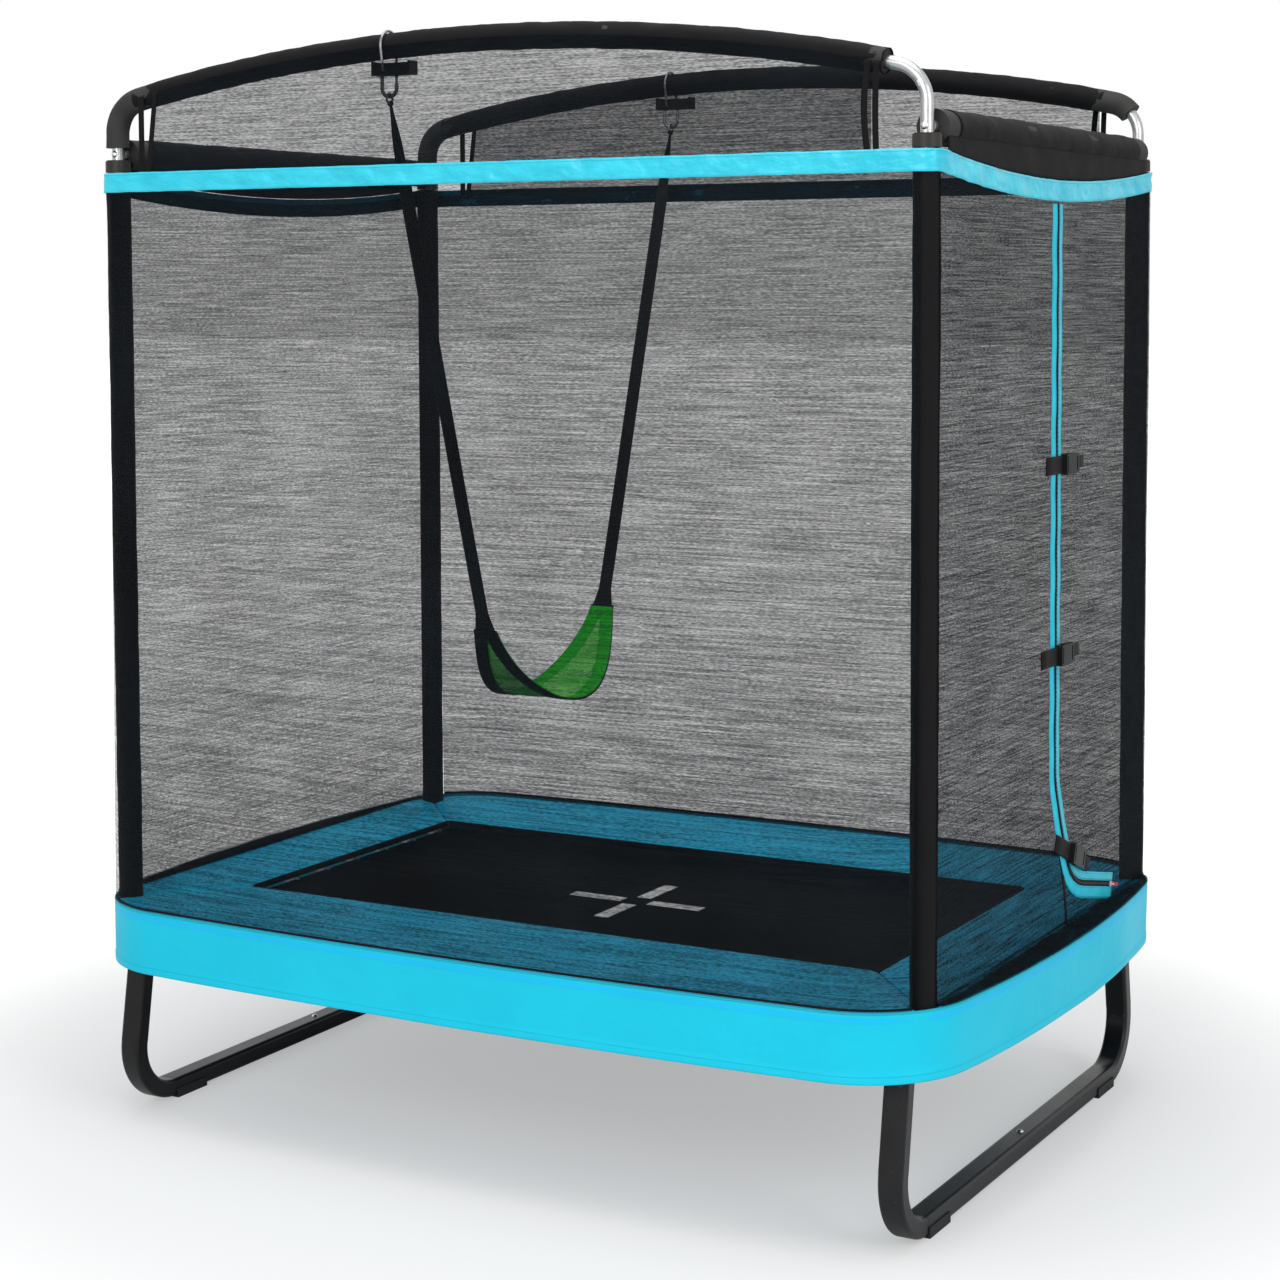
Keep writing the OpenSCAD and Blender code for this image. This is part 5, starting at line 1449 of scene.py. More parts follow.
@dataclass
class Arches:
    """Foams, fabric sleeves and upper nets of the two arches."""

    foam_foot: float = 1.8593
    cover_left: float = -0.778905
    cover_right: float = 0.763905
    elbow_turn: float = math.radians(78.4645)
    rear_wrap: float = math.radians(38)
    squeeze_x: float = 0.775
    squeeze_h: float = 0.0008
    gather_x: float = 0.76
    gather_h: float = 0.0012

    def arch_angle(self, x: float) -> float:
        """Angle from upright to the arch point at x."""
        return math.asin(x / PLAN.arch_r)

    def along_arch(self, skin: Skin, y: float, x0: float, x1: float, steps: int) -> Skin:
        """Carry the open end along the arch from one x to another."""
        turn = self.arch_angle(x1) - self.arch_angle(x0)
        return skin.arc((0, y, PLAN.arch_z - PLAN.arch_r), (0, 1, 0), turn, steps)

    def foam(self, name: str, sy: int) -> None:
        """Build one arch foam, over the left elbow and along the arch.

        Args:
            name: Name of the side.
            sy: Side of the origin along Y, as a sign.
        """
        y = sy * PLAN.post_y
        inner = PLAN.foam_bore
        skin = Skin().ring(inner, 28, facing(-PLAN.post_x, y, self.foam_foot, 0, "Z"))
        skin.widen(PLAN.foam_r / inner)
        skin.straight((0, 0, PLAN.elbow_top - self.foam_foot), 5)
        skin.arc((-PLAN.post_x + PLAN.elbow_r, y, PLAN.elbow_top), (0, 1, 0), self.elbow_turn, 16)
        if sy < 0:
            self.along_arch(skin, y, -PLAN.arch_tan_x, self.cover_right - 0.003, 90)
        else:
            self.along_arch(skin, y, -PLAN.arch_tan_x, PLAN.arch_tan_x, 90)
            skin.arc((PLAN.post_x - PLAN.elbow_r, y, PLAN.elbow_top), (0, 1, 0), self.rear_wrap, 8)
        skin.widen(inner / PLAN.foam_r)
        bmesh.ops.recalc_face_normals(skin.bm, faces=skin.bm.faces)

        def squeezed(p: Vector) -> Vector:
            """Squeeze the foam where it bends over an elbow.

            Args:
                p: Point of the mesh.

            Returns:
                Where the point goes.
            """
            if abs(p.x) < self.squeeze_x or (sy < 0 and p.x > 0):
                return p
            fold = noise.noise(Vector((p.x * 38, p.y * 20, p.z * 38 + sy * 4.0)))
            middle = Vector((math.copysign(PLAN.post_x - PLAN.elbow_r, p.x), y, PLAN.elbow_top))
            return p + (p - middle).normalized() * (self.squeeze_h * (fold - 0.5))

        skin.moved(squeezed)
        piece = rides(skin.done(f"arch_foam_{name}", FOAM), "trampoline", "foam", "arch_foams")

    def sleeve(self, name: str, sy: int) -> None:
        """Build one fabric sleeve with its small cross folds.

        Args:
            name: Name of the side.
            sy: Side of the origin along Y, as a sign.
        """
        y = sy * PLAN.post_y
        turn = 90 + math.degrees(self.arch_angle(self.cover_left))
        place = facing(self.cover_left, y, PLAN.arch_height(self.cover_left), turn, "Y")
        skin = Skin().ring(PLAN.sleeve_skin, 36, place)
        self.along_arch(skin, y, self.cover_left, self.cover_right, 190)

        def folded(p: Vector) -> Vector:
            """Fold the sleeve and gather its ends.

            Args:
                p: Point of the mesh.

            Returns:
                Where the point goes.
            """
            out = p - Vector((p.x, y, PLAN.arch_height(p.x)))
            angle = math.atan2(out.z, out.y)
            wave = ripple(
                (p.x * 26, math.cos(angle) * 1.2, math.sin(angle) * 1.2 + sy * 3, 0.0013),
                (p.x * 90, angle, sy * 7.0, 0.0006),
            )
            gather = self.gather_h * max(0.0, 1 - abs(abs(p.x) - self.gather_x) / 0.05)
            return p + out.normalized() * (min(0.0007, wave - 0.0003) - gather)

        skin.moved(folded)
        piece = thickened(skin.done(f"arch_sleeve_{name}", SLEEVE), PLAN.cloth_t, -1.0)
        rides(piece, "trampoline", "sleeve_cloth", f"arch_cover_{name}")

    def upper_net(self, name: str, sy: int) -> None:
        """Build the net between the arch and the band, its edge bindings and the two straps beside it.

        Args:
            name: Name of the side.
            sy: Side of the origin along Y, as a sign.
        """
        left, right = self.cover_left + 0.034, self.cover_right - 0.018
        plane = sy * (PLAN.post_y + PLAN.sleeve_r + 0.00015)

        def upright(x: float, w: float, off: float) -> Vector:
            """Lay a point out between the band and the arch."""
            low, top = PLAN.net_top + 0.001, PLAN.arch_height(x) - 0.0015
            return Vector((x, plane + sy * off, low + (top - low) * w))

        def place(u: float, w: float) -> Vector:
            """Lay a point of the net out.

            Args:
                u: Share of the way across the grid.
                w: Share of the way up the grid.

            Returns:
                The point in the frame.
            """
            start = left + 0.02 * w
            x = start + (right - start) * u
            slack = ripple((x * 4, w * 2, sy * 5.0, 0.0012)) * math.sin(math.pi * w)
            return upright(x, w, slack)

        net = grid(90, 16, place).done(f"upper_net_{name}", NET_ARCH)
        rides(net, "trampoline", "net_mesh", f"arch_cover_{name}")
        strips = (
            ("left", left, 0.011, 0.02, 0.0),
            ("right", right - 0.011, 0.011, 0.0, -0.007),
            ("strap_left", left - 0.015, 0.0125, 0.0, 0.0),
            ("strap_right", right + 0.004, 0.0105, 0.0, -0.002),
        )
        for label, start, wide, slant, bow in strips:

            def strip(u: float, w: float) -> Vector:
                """Lay a point of a strip out."""
                return upright(start + wide * u + slant * w + bow * math.sin(math.pi * w), w, 0.0009)

            piece = thickened(grid(3, 24, strip).done(f"upper_net_{label}_{name}", BINDING), PLAN.thin_t)
            rides(piece, "trampoline", "sleeve_cloth")

    def build(self) -> None:
        """Build both arches."""
        for name, sy in (("front", -1), ("rear", 1)):
            self.foam(name, sy)
            self.sleeve(name, sy)
            self.upper_net(name, sy)


@dataclass
class CrossBars:
    """Foams, fabric rolls and flaps of the two cross bars."""

    foam_r: float = 0.029
    foam_half: float = 0.508
    roll_half: float = 0.46
    roll_r: float = 0.0301
    flap_in: float = 0.0042
    flap_low: float = 1.812
    flap_drop: float = 0.0155

    def build(self) -> None:
        """Build both cross bars."""
        for name, sx in (("left", -1), ("right", 1)):
            x = sx * PLAN.post_x
            inner = PLAN.foam_bore
            skin = Skin().ring(inner, 28, facing(x, -self.foam_half, PLAN.bolt_z, -90, "X"))
            skin.widen(self.foam_r / inner).straight((0, 2 * self.foam_half, 0), 60)
            skin.widen(inner / self.foam_r)
            foam = rides(skin.done(f"cross_bar_foam_{name}", FOAM), "trampoline", "foam", "cross_bar_foams")
            skin = Skin().ring(self.roll_r, 40, facing(x, -self.roll_half, PLAN.bolt_z, -90, "X"))
            skin.straight((0, 2 * self.roll_half, 0), 110)

            def gathered(p: Vector) -> Vector:
                """Gather the roll in small folds.

                Args:
                    p: Point of the mesh.

                Returns:
                    Where the point goes.
                """
                out = Vector((p.x - x, 0, p.z - PLAN.bolt_z))
                angle = math.atan2(out.z, out.x)
                wave = ripple(
                    (p.y * 16, math.cos(angle), math.sin(angle) + sx * 3, 0.0016),
                    (p.y * 55, angle, sx * 7.0, 0.0007),
                )
                return p + out.normalized() * min(0.0007, wave)

            skin.moved(gathered)
            roll = thickened(skin.done(f"cross_bar_roll_{name}", SLEEVE), PLAN.cloth_t, -1.0)
            rides(roll, "trampoline", "sleeve_cloth", f"cross_bar_cover_{name}")
            plane = PLAN.post_x + self.roll_r - self.flap_in
            half = self.foam_half - 0.002

            def flap(u: float, w: float) -> Vector:
                """Lay a point of the flap out.

                Args:
                    u: Share of the way across the grid.
                    w: Share of the way up the grid.

                Returns:
                    The point in the frame.
                """
                y = (2 * u - 1) * half
                low, top = self.flap_low - PLAN.sag(y), PLAN.bolt_z - self.flap_drop
                tuck = PLAN.cloth_slack * (1 - w) ** 2
                wave = ripple((y * 14, w * 1.5, sx * 2.0, 0.0014)) * math.sin(math.pi * min(1, w + 0.2))
                return Vector((sx * (plane - tuck + wave), y, low + (top - low) * w))

            piece = thickened(grid(100, 8, flap).done(f"cross_bar_flap_{name}", SLEEVE), PLAN.cloth_t)
            rides(piece, "trampoline", "sleeve_cloth", f"cross_bar_cover_{name}")


# ------------------------------------------------------------------ enclosure


@dataclass
class Enclosure:
    """Nets on the four sides, their hems and the coloured band."""

    side_half: float = 0.5365
    foot_in: float = 0.0042
    foot_lift: float = 0.0008
    side_lift: float = 0.0011
    hem_flat: float = 0.0072
    hem_rise: float = 0.0038
    hem_out: float = 0.0007
    foot_share: float = 0.12
    flap_share: float = 0.9
    flap_lift: float = 0.0019
    flap_rise: float = 0.007
    band_out: float = 0.0271
    band_low: float = 1.774
    band_high: float = 1.811

    def long_net(self, name: str, sy: int) -> None:
        """Build the net of one long side.

        Args:
            name: Name of the side.
            sy: Side of the origin along Y, as a sign.
        """
        y_top = PLAN.post_y + PLAN.net_out

        def place(u: float, w: float) -> Vector:
            """Lay a point of the net out.

            Args:
                u: Share of the way across the grid.
                w: Share of the way up the grid.

            Returns:
                The point in the frame.
            """
            x = (2 * u - 1) * PLAN.post_x
            low = PLAN.edge_y(x) - self.foot_in
            z = PLAN.pad_z + self.foot_lift + (PLAN.net_top - PLAN.pad_z) * w
            lean = min(1.0, (z - PLAN.pad_z) / (PLAN.lean_top - PLAN.pad_z))
            slack = ripple((x * 2.2, w * 3, 8.0 + sy, 0.003)) * math.sin(math.pi * lean)
            return Vector((x, sy * (low + (y_top - low) * lean + slack), z))

        net = grid(80, 60, place).done(f"side_net_{name}", NET)
        rides(net, "trampoline", "net_mesh", f"net_{name}")

        def hem(u: float, w: float) -> Vector:
            """Lay a point of the hem out, flat on the pad and then up the net.

            Args:
                u: Share of the way across the grid.
                w: Share of the way up the grid.

            Returns:
                The point in the frame.
            """
            along = w * (self.hem_flat + self.hem_rise)
            if along < self.hem_flat:
                p = place(u, 0.0)
                return Vector((p.x, p.y - sy * (self.hem_flat - along), p.z + self.hem_out))
            p = place(u, (along - self.hem_flat) / (PLAN.net_top - PLAN.pad_z))
            return Vector((p.x, p.y + sy * self.hem_out, p.z + self.hem_out))

        strip = thickened(grid(80, 6, hem).done(f"net_hem_{name}", BINDING), 0.001)
        rides(strip, "trampoline", "sleeve_cloth")

    def short_net(self, name: str, sx: int) -> None:
        """Build the net of one short side, with the flap over the pad's edge.

        Args:
            name: Name of the side.
            sx: Side of the origin along X, as a sign.
        """
        x_in = PLAN.post_x + PLAN.net_out
        finish = NET_SIDE if sx > 0 else NET

        def place(u: float, w: float) -> Vector:
            """Lay a point of the net out, flat on the pad and then upright.

            Args:
                u: Share of the way across the grid.
                w: Share of the way up the grid.

            Returns:
                The point in the frame.
            """
            y = (2 * u - 1) * self.side_half
            low, top = PLAN.pad_z + self.side_lift, PLAN.net_top - PLAN.sag(y)
            if w < self.foot_share:
                out = (1 - w / self.foot_share) * (PLAN.edge_x(y) - 0.005 - x_in)
                return Vector((sx * (x_in + out), y, low))
            t = (w - self.foot_share) / (1 - self.foot_share)
            slack = ripple((y * 3, t * 4, 2.0 + sx, 0.003)) * math.sin(math.pi * t)
            return Vector((sx * (x_in + slack * 0.5), y, low + (top - PLAN.pad_z) * t))

        net = grid(60, 75, place).done(f"side_net_{name}", finish)
        rides(net, "trampoline", "net_mesh", f"net_{name}")

        def flap(u: float, w: float) -> Vector:
            """Lay a point of the flap out.

            Args:
                u: Share of the way across the grid.
                w: Share of the way up the grid.

            Returns:
                The point in the frame.
            """
            y, low, share = (2 * u - 1) * self.side_half, PLAN.pad_z + self.flap_lift, self.flap_share
            if w < share:
                out = (1 - w / share) * (PLAN.edge_x(y) - 0.0012 - x_in)
                return Vector((sx * (x_in + self.foot_lift + out), y, low))
            return Vector((sx * (x_in + self.foot_lift), y, low + self.flap_rise * (w - share) / (1 - share)))

        strip = grid(60, 10, flap).done(f"net_flap_{name}", NET)
        rides(strip, "trampoline", "sleeve_cloth")

    def band(self) -> None:
        """Build the band round all four sides, gathered and creased."""
        low, high = self.band_low, self.band_high
        cells = 8
        y0 = PLAN.post_y + self.band_out
        skin = Skin().line([(0, y0, low + (high - low) * i / cells) for i in range(cells + 1)])
        skin.straight((PLAN.post_x, 0, 0), 110)
        skin.arc((PLAN.post_x, PLAN.post_y, 0), UP, -math.pi / 2, 10)
        skin.straight((0, -PLAN.post_y, 0), 70).mirrored("X", "Y")

        def hung(p: Vector) -> Vector:
            """Let the band sag on its short sides and crease it.

            Args:
                p: Point of the mesh.

            Returns:
                Where the point goes.
            """
            over = max(0.0, abs(p.x) - PLAN.post_x), max(0.0, abs(p.y) - PLAN.post_y)
            side = over[0] > over[1]
            drop = PLAN.sag(p.y) if side else 0.0
            run = p.y if side else p.x
            share = (p.z - low) / (high - low)
            normal = Vector((math.copysign(over[0], p.x), math.copysign(over[1], p.y), 0)).normalized()
            wave = ripple(
                (run * 30, share * 1.6, 8.0 if side else 3.0, 0.0022),
                (run * 75 + share * 3, share * 2.4, 6.0, 0.0012),
            )
            return p + normal * (wave - 0.0002) + Vector((0, 0, -drop + wave * 0.25))

        def edge_line(p: Vector) -> tuple[float, float]:
            """Give how far a point lies along and beside the band's upper seam."""
            drop = PLAN.sag(p.y) if abs(p.x) > PLAN.post_x + 0.01 else 0.0
            return p.x + p.y, (p.z + drop) - high + 0.004

        skin.moved(hung)
        skin.seams(edge_line)
        piece = thickened(skin.done("band_ribbon", BAND), PLAN.thin_t)
        # The inner face gets the dark painted-shade copy of the band cloth.
        piece.data.materials.append(BAND_INSIDE_SHADE.material())
        piece.modifiers["thickness"].material_offset = 1
        rides(piece, "trampoline", "band_cloth", "top_band")

    def build(self) -> None:
        """Build the band, the nets and their hems."""
        self.band()
        self.long_net("front", -1)
        self.long_net("rear", 1)
        self.short_net("left", -1)
        self.short_net("right", 1)


# ------------------------------------------------------------------ door


@dataclass
class Door:
    """Zip with its tapes and teeth, the binding under its bend, and the buckles' webbing."""

    plane: float = 0.858806
    gap: float = 0.011
    marks: tuple[tuple[float, float], ...] = ((0.008, 1.736), (0.012, 0.69), (0.1, 0.492), (0.338, 0.441))
    bends: tuple[float, float] = (0.05, 0.07)
    step: float = 0.012
    tooth_pitch: float = 0.0042
    tooth: tuple[float, float, float] = (0.0018, 0.0024, 0.0046)
    tooth_off: float = 0.0012
    binding_w: float = 0.0105
    socket_w: float = 0.0325
    clip_w: float = 0.0235

    def path(self) -> list[Vector]:
        """Points along the zip in the door's plane, with rounded bends.

        Returns:
            The points, as Y and Z.
        """
        marks = [Vector(mark) for mark in self.marks]
        points = [marks[0]]
        for i, reach in enumerate(self.bends, start=1):
            before, here, after = marks[i - 1], marks[i], marks[i + 1]
            a = here + (before - here).normalized() * reach
            b = here + (after - here).normalized() * reach
            points += [a.lerp(here, t).lerp(here.lerp(b, t), t) for t in (0, 0.2, 0.4, 0.6, 0.8, 1.0)]
        points.append(marks[-1])
        fine = []
        for a, b in zip(points, points[1:]):
            count = max(1, round((b - a).length / self.step))
            fine += [a.lerp(b, j / count) for j in range(count)]
        return fine + [points[-1]]

    def build(self) -> None:
        """Build the zip and the webbing, and dress the hardware."""
        path = self.path()
        ahead = headings(path)
        sides = [Vector((0, -d.y, d.x)) for d in ahead]
        for label, sign, width, cloth in (("front", 1, 0.023, ZIP_CLOTH), ("rear", -1, 0.016, ZIP_PALE)):
            off = sign * (self.gap / 2 + width / 2)
            line = [
                Vector((self.plane + 0.0007 + 0.0005 * math.sin(i * 0.7), p.x, p.y)) + s * -off
                for i, (p, s) in enumerate(zip(path, sides))
            ]
            tape = ribbon(line, sides, lambda u: width, 4).done(f"zip_tape_{label}", cloth)
            rides(thickened(tape, 0.0008), "trampoline", "zip_cloth", "zip_tapes")
        line = [Vector((self.plane + 0.0003, p.x, p.y)) for p in path]
        under = ribbon(line, sides, lambda u: self.gap + 0.004, 4).done("zip_backing", BINDING)
        rides(thickened(under, 0.0006), "trampoline", "zip_cloth")
        self.teeth(path, ahead)
        self.binding()
        self.webbing()
        dressed(ZIP_METAL, "zip_slider")
        dressed(PULL_PLASTIC, "zip_pull")
        dressed(BUCKLE_PLASTIC, "buckle_sockets", "buckle_clip_top", "buckle_clip_middle", "buckle_clip_bottom")

    def teeth(self, path: Sequence[Vector], ahead: Sequence[Vector]) -> None:
        """Set the teeth of the zip along its path.

        Args:
            path: Points along the zip.
            ahead: Its direction at each point.
        """
        bm = bmesh.new()
        run, pitch, carry = 0.0, self.tooth_pitch, 0.0
        for (a, b), way in zip(zip(path, path[1:]), ahead):
            length = (b - a).length
            while carry < length:
                p = a.lerp(b, carry / length)
                side = 1 if round(run / pitch) % 2 else -1
                turn = math.atan2(way.y, way.x)
                place = Matrix.Translation((self.plane + 0.0016, p.x, p.y)) @ Matrix.Rotation(turn, 4, "X")
                size = Matrix.Translation((0, 0, side * self.tooth_off)) @ Matrix.Diagonal((*self.tooth, 1))
                bmesh.ops.create_cube(bm, size=1.0, matrix=place @ size)
                run += pitch
                carry += pitch
            carry -= length
        rides(made_object(bm, "zip_teeth_row", TOOTH), "trampoline", "zip_cloth", "zip_tapes")

    def binding(self) -> None:
        """Build the dark binding that leaves the zip at its bend and runs down to the pad."""
        marks = (
            (0.041, 0.568), (0.0475, 0.5475), (0.058, 0.52), (0.0685, 0.49), (0.076, 0.46), (0.08, 0.436),
            (0.0815, 0.4195),
        )
        line = [Vector((self.plane + 0.0006, y, z)) for y, z in marks]
        sides = [Vector((0, -d.z, d.y)) for d in headings(line)]
        piece = ribbon(line, sides, lambda u: self.binding_w, 3).done("door_binding", BINDING)
        rides(thickened(piece, PLAN.cloth_t), "trampoline", "sleeve_cloth")

    def webbing(self) -> None:
        """Build the webbing on both sides of each buckle."""
        inner = ((0.0012, -0.08, 0), (0.0014, -0.05, 0), (0.0016, -0.02, 0), (0.0016, -0.0008, 0))
        outer = (
            (0.006, 0.0565, 0), (0.0068, 0.0615, 0), (0.0056, 0.067, 0), (0.0022, 0.074, 0),
            (0.0006, 0.084, 0), (0.0004, 0.1, 0), (0.0004, 0.118, 0),
        )
        buckles = (("top", 0.028, 1.27, 0.0), ("middle", 0.010, 0.925, 0.0), ("bottom", 0.086, 0.552, -22.0))
        for name, y, z, turn in buckles:
            place = facing(self.plane + 0.0026, y, z, turn, "X")
            side = (Matrix.Rotation(math.radians(turn), 3, "X") @ Vector(UP)).normalized()
            lines = [[place @ Vector(p) for p in marks] for marks in (inner, outer)]
            strap = ribbon(lines[0], [side] * len(inner), lambda u: self.socket_w, 6)
            strap = strap.done(f"socket_webbing_{name}", WEBBING)
            rides(thickened(strap, 0.0024), "trampoline", "webbing")
            tail = ribbon(lines[1], [side] * len(outer), lambda u: self.clip_w, 6)
            tail = tail.done(f"clip_webbing_{name}", WEBBING)
            rides(thickened(tail, 0.0015), f"clip_{name}", "webbing")


# ------------------------------------------------------------------ swing


@dataclass
class Swing:
    """Sling seat, its bindings and straps, and the hanging hardware."""

    x: float = -0.205
    seat_z: float = 0.777
    seat_r: float = 0.241941
    half_a: float = math.radians(68.43)
    span: float = 0.225
    end_half: float = 0.025
    mid_half: float = 0.0825
    link_z: float = 1.92971
    link_r: float = 0.009
    loop_r: float = 0.004
    loop_half: float = 0.003
    border: float = 0.027
    run: float = 0.58
    dip: float = 0.006
    web_drop: float = 0.0013
    web_out: float = 0.0012
    tuck: float = 0.008
    twist_from: float = 0.90

    def half_width(self, y: float) -> float:
        """Half width of the seat at y."""
        return self.end_half + (self.mid_half - self.end_half) * max(0.0, 1 - (y / self.span) ** 2)

    def on_arc(self, angle: float, radius: float) -> tuple[float, float]:
        """Y and Z of the sling's curve at an angle and radius."""
        return radius * math.sin(angle), self.seat_z + self.seat_r - radius * math.cos(angle)

    def seat(self) -> None:
        """Build the seat: closed green borders and an open net middle."""

        def place(u: float, w: float) -> Vector:
            """Lay a point of the seat out.

            Args:
                u: Share of the way across the grid.
                w: Share of the way up the grid.

            Returns:
                The point in the frame.
            """
            angle = (2 * u - 1) * self.half_a
            radius = self.seat_r - 0.0015
            y, _ = self.on_arc(angle, radius)
            v = 2 * w - 1
            half = self.half_width(y)
            dip = self.dip * (1 - v * v) * math.cos(angle)
            y2, z2 = self.on_arc(angle, radius + dip * 0.35 + ripple((v * 2, u * 9, 1.0, 0.0012)))
            return Vector((self.x + v * half, y2, z2))

        def seam(u: float, w: float) -> tuple[float, float]:
            """Give how far a point lies along and beside the border's seam.

            Args:
                u: Share of the way across the grid.
                w: Share of the way up the grid.

            Returns:
                Both lengths in metres.
            """
            y, _ = self.on_arc((2 * u - 1) * self.half_a, self.seat_r)
            edge = self.half_width(y) * (1 - abs(2 * w - 1))
            return u * self.run, edge - self.border

        skin = grid(60, 24, place, seam)
        beside = skin.bm.verts.layers.float["beside"]
        for face in skin.bm.faces:
            face.material_index = 1 if min(v[beside] for v in face.verts) > 0.0 else 0
        bmesh.ops.recalc_face_normals(skin.bm, faces=skin.bm.faces)
        piece = made_object(skin.bm, "sling_seat", SEAT, SEAT_NET)
        thickened(piece, 0.0016)
        rides(piece, "swing", "seat_cloth", "swing_seat")

    def bindings(self) -> None:
        """Build the webbing under both edges of the seat."""
        for label, sign in (("left", -1), ("right", 1)):

            def place(u: float, w: float) -> Vector:
                """Lay a point of the webbing out.

                Args:
                    u: Share of the way across the grid.
                    w: Share of the way up the grid.

                Returns:
                    The point in the frame.
                """
                angle = (2 * u - 1) * (self.half_a + 0.02)
                y, z = self.on_arc(angle, self.seat_r + self.web_drop)
                half = self.half_width(y)
                inner = max(half - self.border, 0.0)
                return Vector((self.x + sign * (inner + (half + self.web_out - inner) * w), y, z))

            def seam(u: float, w: float) -> tuple[float, float]:
                """Give how far a point lies along and beside the webbing's seam."""
                return u * self.run, self.border * (0.5 - abs(w - 0.5)) - 0.003

            piece = thickened(grid(60, 5, place, seam).done(f"seat_webbing_{label}", WEBBING), 0.002)
            rides(piece, "swing", "webbing", "swing_webbing")

    def straps(self) -> None:
        """Build the two straps from the seat's ends up to the links."""
        for name, sy in (("front", -1), ("rear", 1)):
            foot_y, foot_z = self.on_arc(self.half_a, self.seat_r + self.web_drop)
            foot = Vector((self.x, sy * foot_y, foot_z))
            link = Vector((self.x, sy * PLAN.post_y, self.link_z))
            rise = (link - foot).normalized()
            eye = link - rise * self.link_r
            side = Vector((1, 0, 0))
            face = rise.cross(side).normalized()
            count = 64
            length = (eye - foot).length
            points, sides = [], []
            for i in range(count + 1):
                t = i / count
                s = -self.tuck + (length - self.loop_r + self.tuck) * t
                bow = 0.004 * math.sin(math.pi * t) + 0.0012 * math.sin(9 * t)
                points.append(foot + rise * s + face * bow * sy * 0.4)
                twist = max(0.0, (t - self.twist_from) / 0.1)
                angle = twist * twist * (3 - 2 * twist) * math.pi / 2
                sides.append((side * math.cos(angle) + face * math.sin(angle)).normalized())

            def width(u: float) -> float:
                """Width of the strap, wide at its foot and narrow at its loop.

                Args:
                    u: Share of its length.

                Returns:
                    The width.
                """
                low = max(0.0, 1 - u / 0.045)
                high = max(0.0, (u - 0.86) / 0.14)
                return 0.028 + 0.022 * low - 0.021 * high

            skin = ribbon(points, sides, width, 5)
            place = Matrix.Translation(eye) @ Vector(UP).rotation_difference(face).to_matrix().to_4x4()
            skin.ring(self.loop_r, 20, place @ Matrix.Translation((0, 0, -self.loop_half)))
            skin.straight(face * 2 * self.loop_half, 4)
            strap = thickened(skin.done(f"swing_strap_{name}", WEBBING), 0.002)
            rides(strap, "swing", "webbing", "swing_webbing")

    def build(self) -> None:
        """Build the swing's cloth and dress its hardware."""
        self.seat()
        self.bindings()
        self.straps()
        dressed(BUCKLE_PLASTIC, "hanger_saddles")
        dressed(HOOK_STEEL, "hanger_rings", "carabiners", "swing_links", "gate_front", "gate_rear")


# ------------------------------------------------------------------ studio


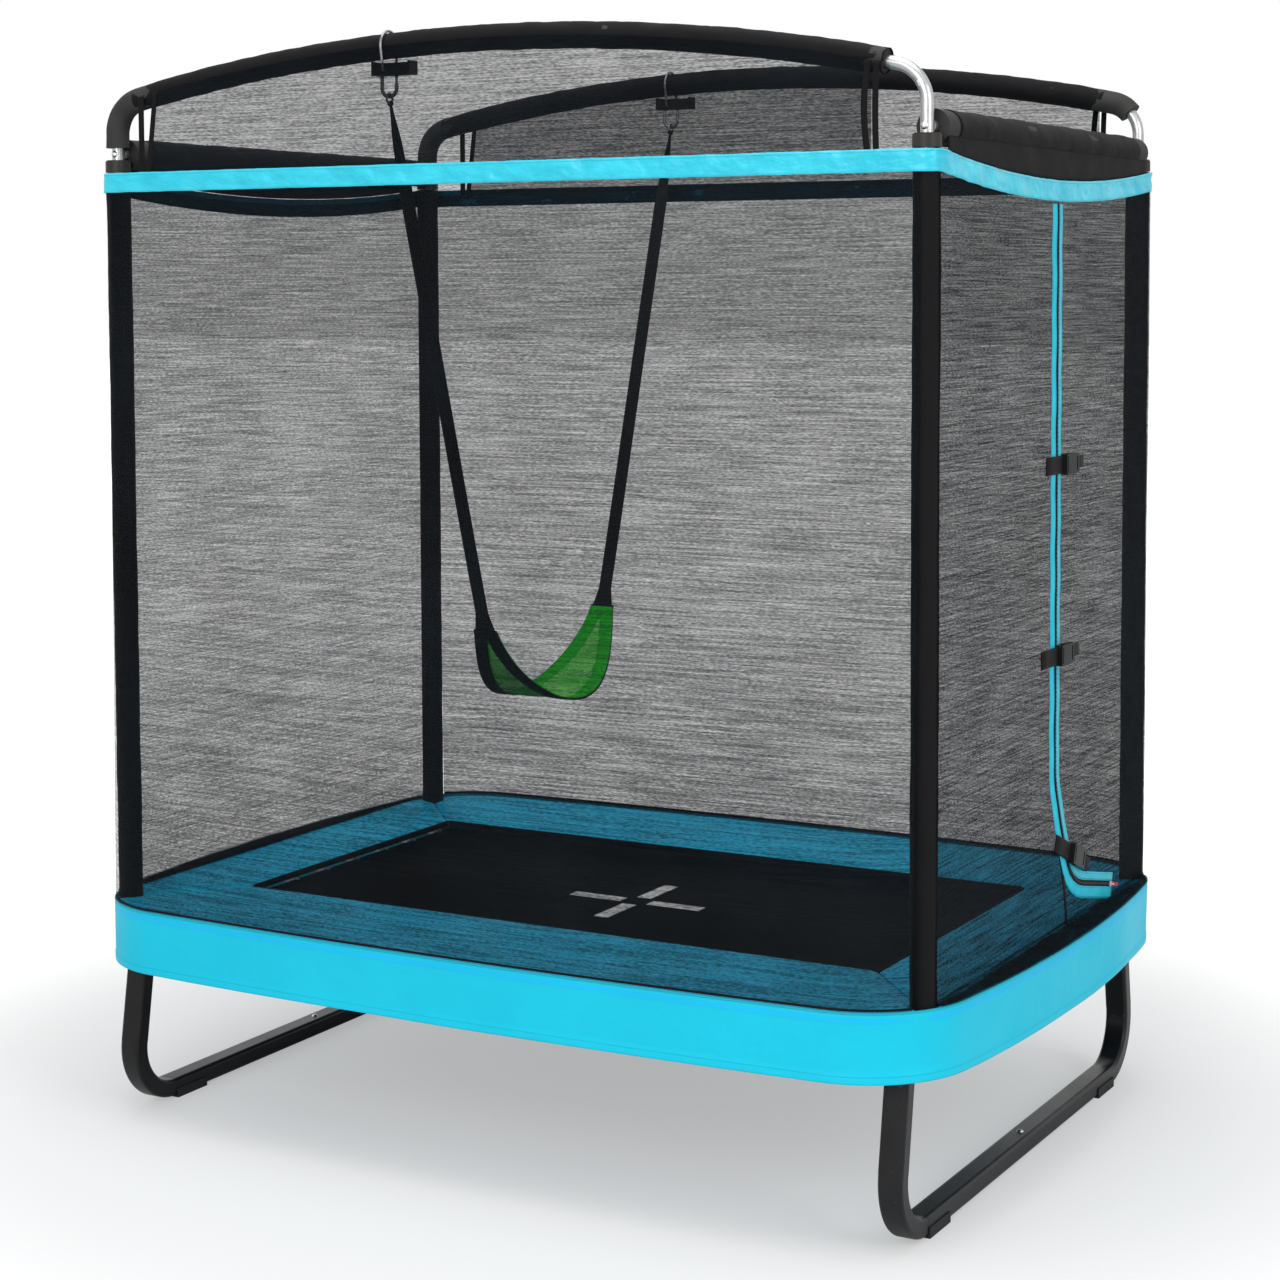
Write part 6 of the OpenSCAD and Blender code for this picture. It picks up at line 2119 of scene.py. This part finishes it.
@dataclass
class Studio:
    """Pale floor with a painted soft shadow, soft light and the camera."""

    focal: float = 2597.6
    place: tuple[float, float, float] = (2.4555, -4.4228, 1.5939)
    yaw: float = 29.13
    pitch: float = 4.14
    roll: float = -0.211
    shift: tuple[float, float] = (0.00695, -0.13)
    ambient: float = 0.62
    floor_tone: float = 0.47
    # Camera glow of the floor inside its painted soft shadow.
    painted_shadow_glow: float = 0.4
    floor_light: float = 0.86
    floor_drop: float = 0.0004
    mirror_share: float = 0.85
    # Distances over which the floor's painted soft shadow rises to white.
    painted_shadow_span: tuple[float, float] = (1.1, 2.6)
    sensor: float = 36.0
    picture: int = 1280

    def camera(self) -> None:
        """Set the camera at its viewing angle."""
        data = bpy.data.cameras.new("camera")
        data.sensor_width = self.sensor
        data.lens = self.focal / self.picture * self.sensor
        data.shift_x, data.shift_y = self.shift
        data.clip_start, data.clip_end = 0.05, 200.0
        camera = bpy.data.objects.new("camera", data)
        turn = facing(*self.place, self.yaw, "Z") @ facing(0, 0, 0, 90 - self.pitch, "X")
        camera.matrix_world = turn @ facing(0, 0, 0, self.roll, "Z")
        bpy.context.scene.collection.objects.link(camera)
        bpy.context.scene.camera = camera

    def world(self) -> None:
        """White for what the camera and mirrors see, an even soft grey for light."""
        world = bpy.data.worlds.new("studio")
        world.use_nodes = True
        bpy.context.scene.world = world
        n = Nodes(world.node_tree)
        n.tree.nodes.clear()
        path = n.add("ShaderNodeLightPath")
        seen = n.math("MAXIMUM", path.outputs["Is Camera Ray"], path.outputs["Is Transmission Ray"])
        seen = n.math("MAXIMUM", seen, n.math("MULTIPLY", path.outputs["Is Glossy Ray"], self.mirror_share))
        light = n.fill(n.add("ShaderNodeBackground"), Color=(0.98, 0.99, 1.0, 1.0), Strength=self.ambient)
        white = n.fill(n.add("ShaderNodeBackground"), Color=(1.0, 1.0, 1.0, 1.0))
        mix = n.add("ShaderNodeMixShader")
        n.link(seen, mix.inputs[0])
        n.link(light.outputs[0], mix.inputs[1])
        n.link(white.outputs[0], mix.inputs[2])
        n.link(mix.outputs[0], n.add("ShaderNodeOutputWorld").inputs[0])

    def floor(self) -> None:
        """Lay the pale floor, which keeps the object's shadow; for the camera it also glows, weakly near the
        object and up to white further out, a painted soft shadow round the object.
        """
        bm = bmesh.new()
        bmesh.ops.create_grid(bm, x_segments=1, y_segments=1, size=60)
        bmesh.ops.translate(bm, verts=bm.verts, vec=(0, 0, -self.floor_drop))
        mesh = made_mesh(bm, "studio_floor")
        floor = bpy.data.objects.new("studio_floor", mesh)
        bpy.context.scene.collection.objects.link(floor)
        made = bpy.data.materials.new("studio_floor")
        made.use_nodes = True
        n = Nodes(made.node_tree)
        n.tree.nodes.clear()
        seen = n.add("ShaderNodeLightPath").outputs["Is Camera Ray"]
        tone = n.mix(seen, (*[self.floor_light] * 3, 1.0), (*[self.floor_tone] * 3, 1.0))
        diffuse = n.fill(n.add("ShaderNodeBsdfDiffuse"), Color=tone)
        # Painted shadow: the camera's glow on the floor is weaker near the object and rises to white with
        # distance.
        away = n.vector("LENGTH", n.add("ShaderNodeTexCoord").outputs["Object"]).outputs["Value"]
        glow_past_painted_shadow = n.ramp(away, (self.painted_shadow_glow, 1.0), self.painted_shadow_span, smooth=True)
        glow = n.add("ShaderNodeEmission")
        n.fill(glow, Color=(1.0, 1.0, 1.0, 1.0), Strength=n.math("MULTIPLY", seen, glow_past_painted_shadow))
        both = n.add("ShaderNodeAddShader")
        n.link(diffuse.outputs[0], both.inputs[0])
        n.link(glow.outputs[0], both.inputs[1])
        n.link(both.outputs[0], n.add("ShaderNodeOutputMaterial").inputs[0])
        mesh.materials.append(made)

    def lamp(
        self, name: str, place: Sequence[float], aim: Sequence[float], size: float, power: float
    ) -> None:
        """Hang one square softbox that faces a point.

        Args:
            name: Name of the lamp.
            place: Where it hangs.
            aim: Point that it faces.
            size: Length of its sides.
            power: Power in watts.
        """
        data = bpy.data.lights.new(name, "AREA")
        data.shape = "SQUARE"
        data.size = size
        data.energy = power
        lamp = bpy.data.objects.new(name, data)
        lamp.location = place
        lamp.rotation_euler = (Vector(aim) - Vector(place)).to_track_quat("-Z", "Y").to_euler()
        bpy.context.scene.collection.objects.link(lamp)

    def build(self) -> None:
        """Set up the camera, the floor and the light."""
        self.camera()
        self.world()
        self.floor()
        self.lamp("softbox_top", (0.3, -0.6, 5.2), (0.0, 0.0, 0.6), 3.2, 130.0)
        self.lamp("softbox_front", (0.6, -6.0, 3.2), (0.0, 0.0, 1.0), 3.0, 120.0)
        self.lamp("softbox_right", (5.5, -2.0, 3.0), (0.2, 0.0, 1.0), 2.6, 80.0)
        bpy.context.scene.view_settings.view_transform = "Standard"


def main() -> None:
    """Build every sub-assembly in order."""
    Studio().build()
    for part in (Frame(), Springs(), Mat(), Pad(), Posts(), Arches(), CrossBars(), Enclosure(), Door(), Swing()):
        LOG.info("-- %s", type(part).__name__)
        part.build()


if __name__ == "__main__":
    main()
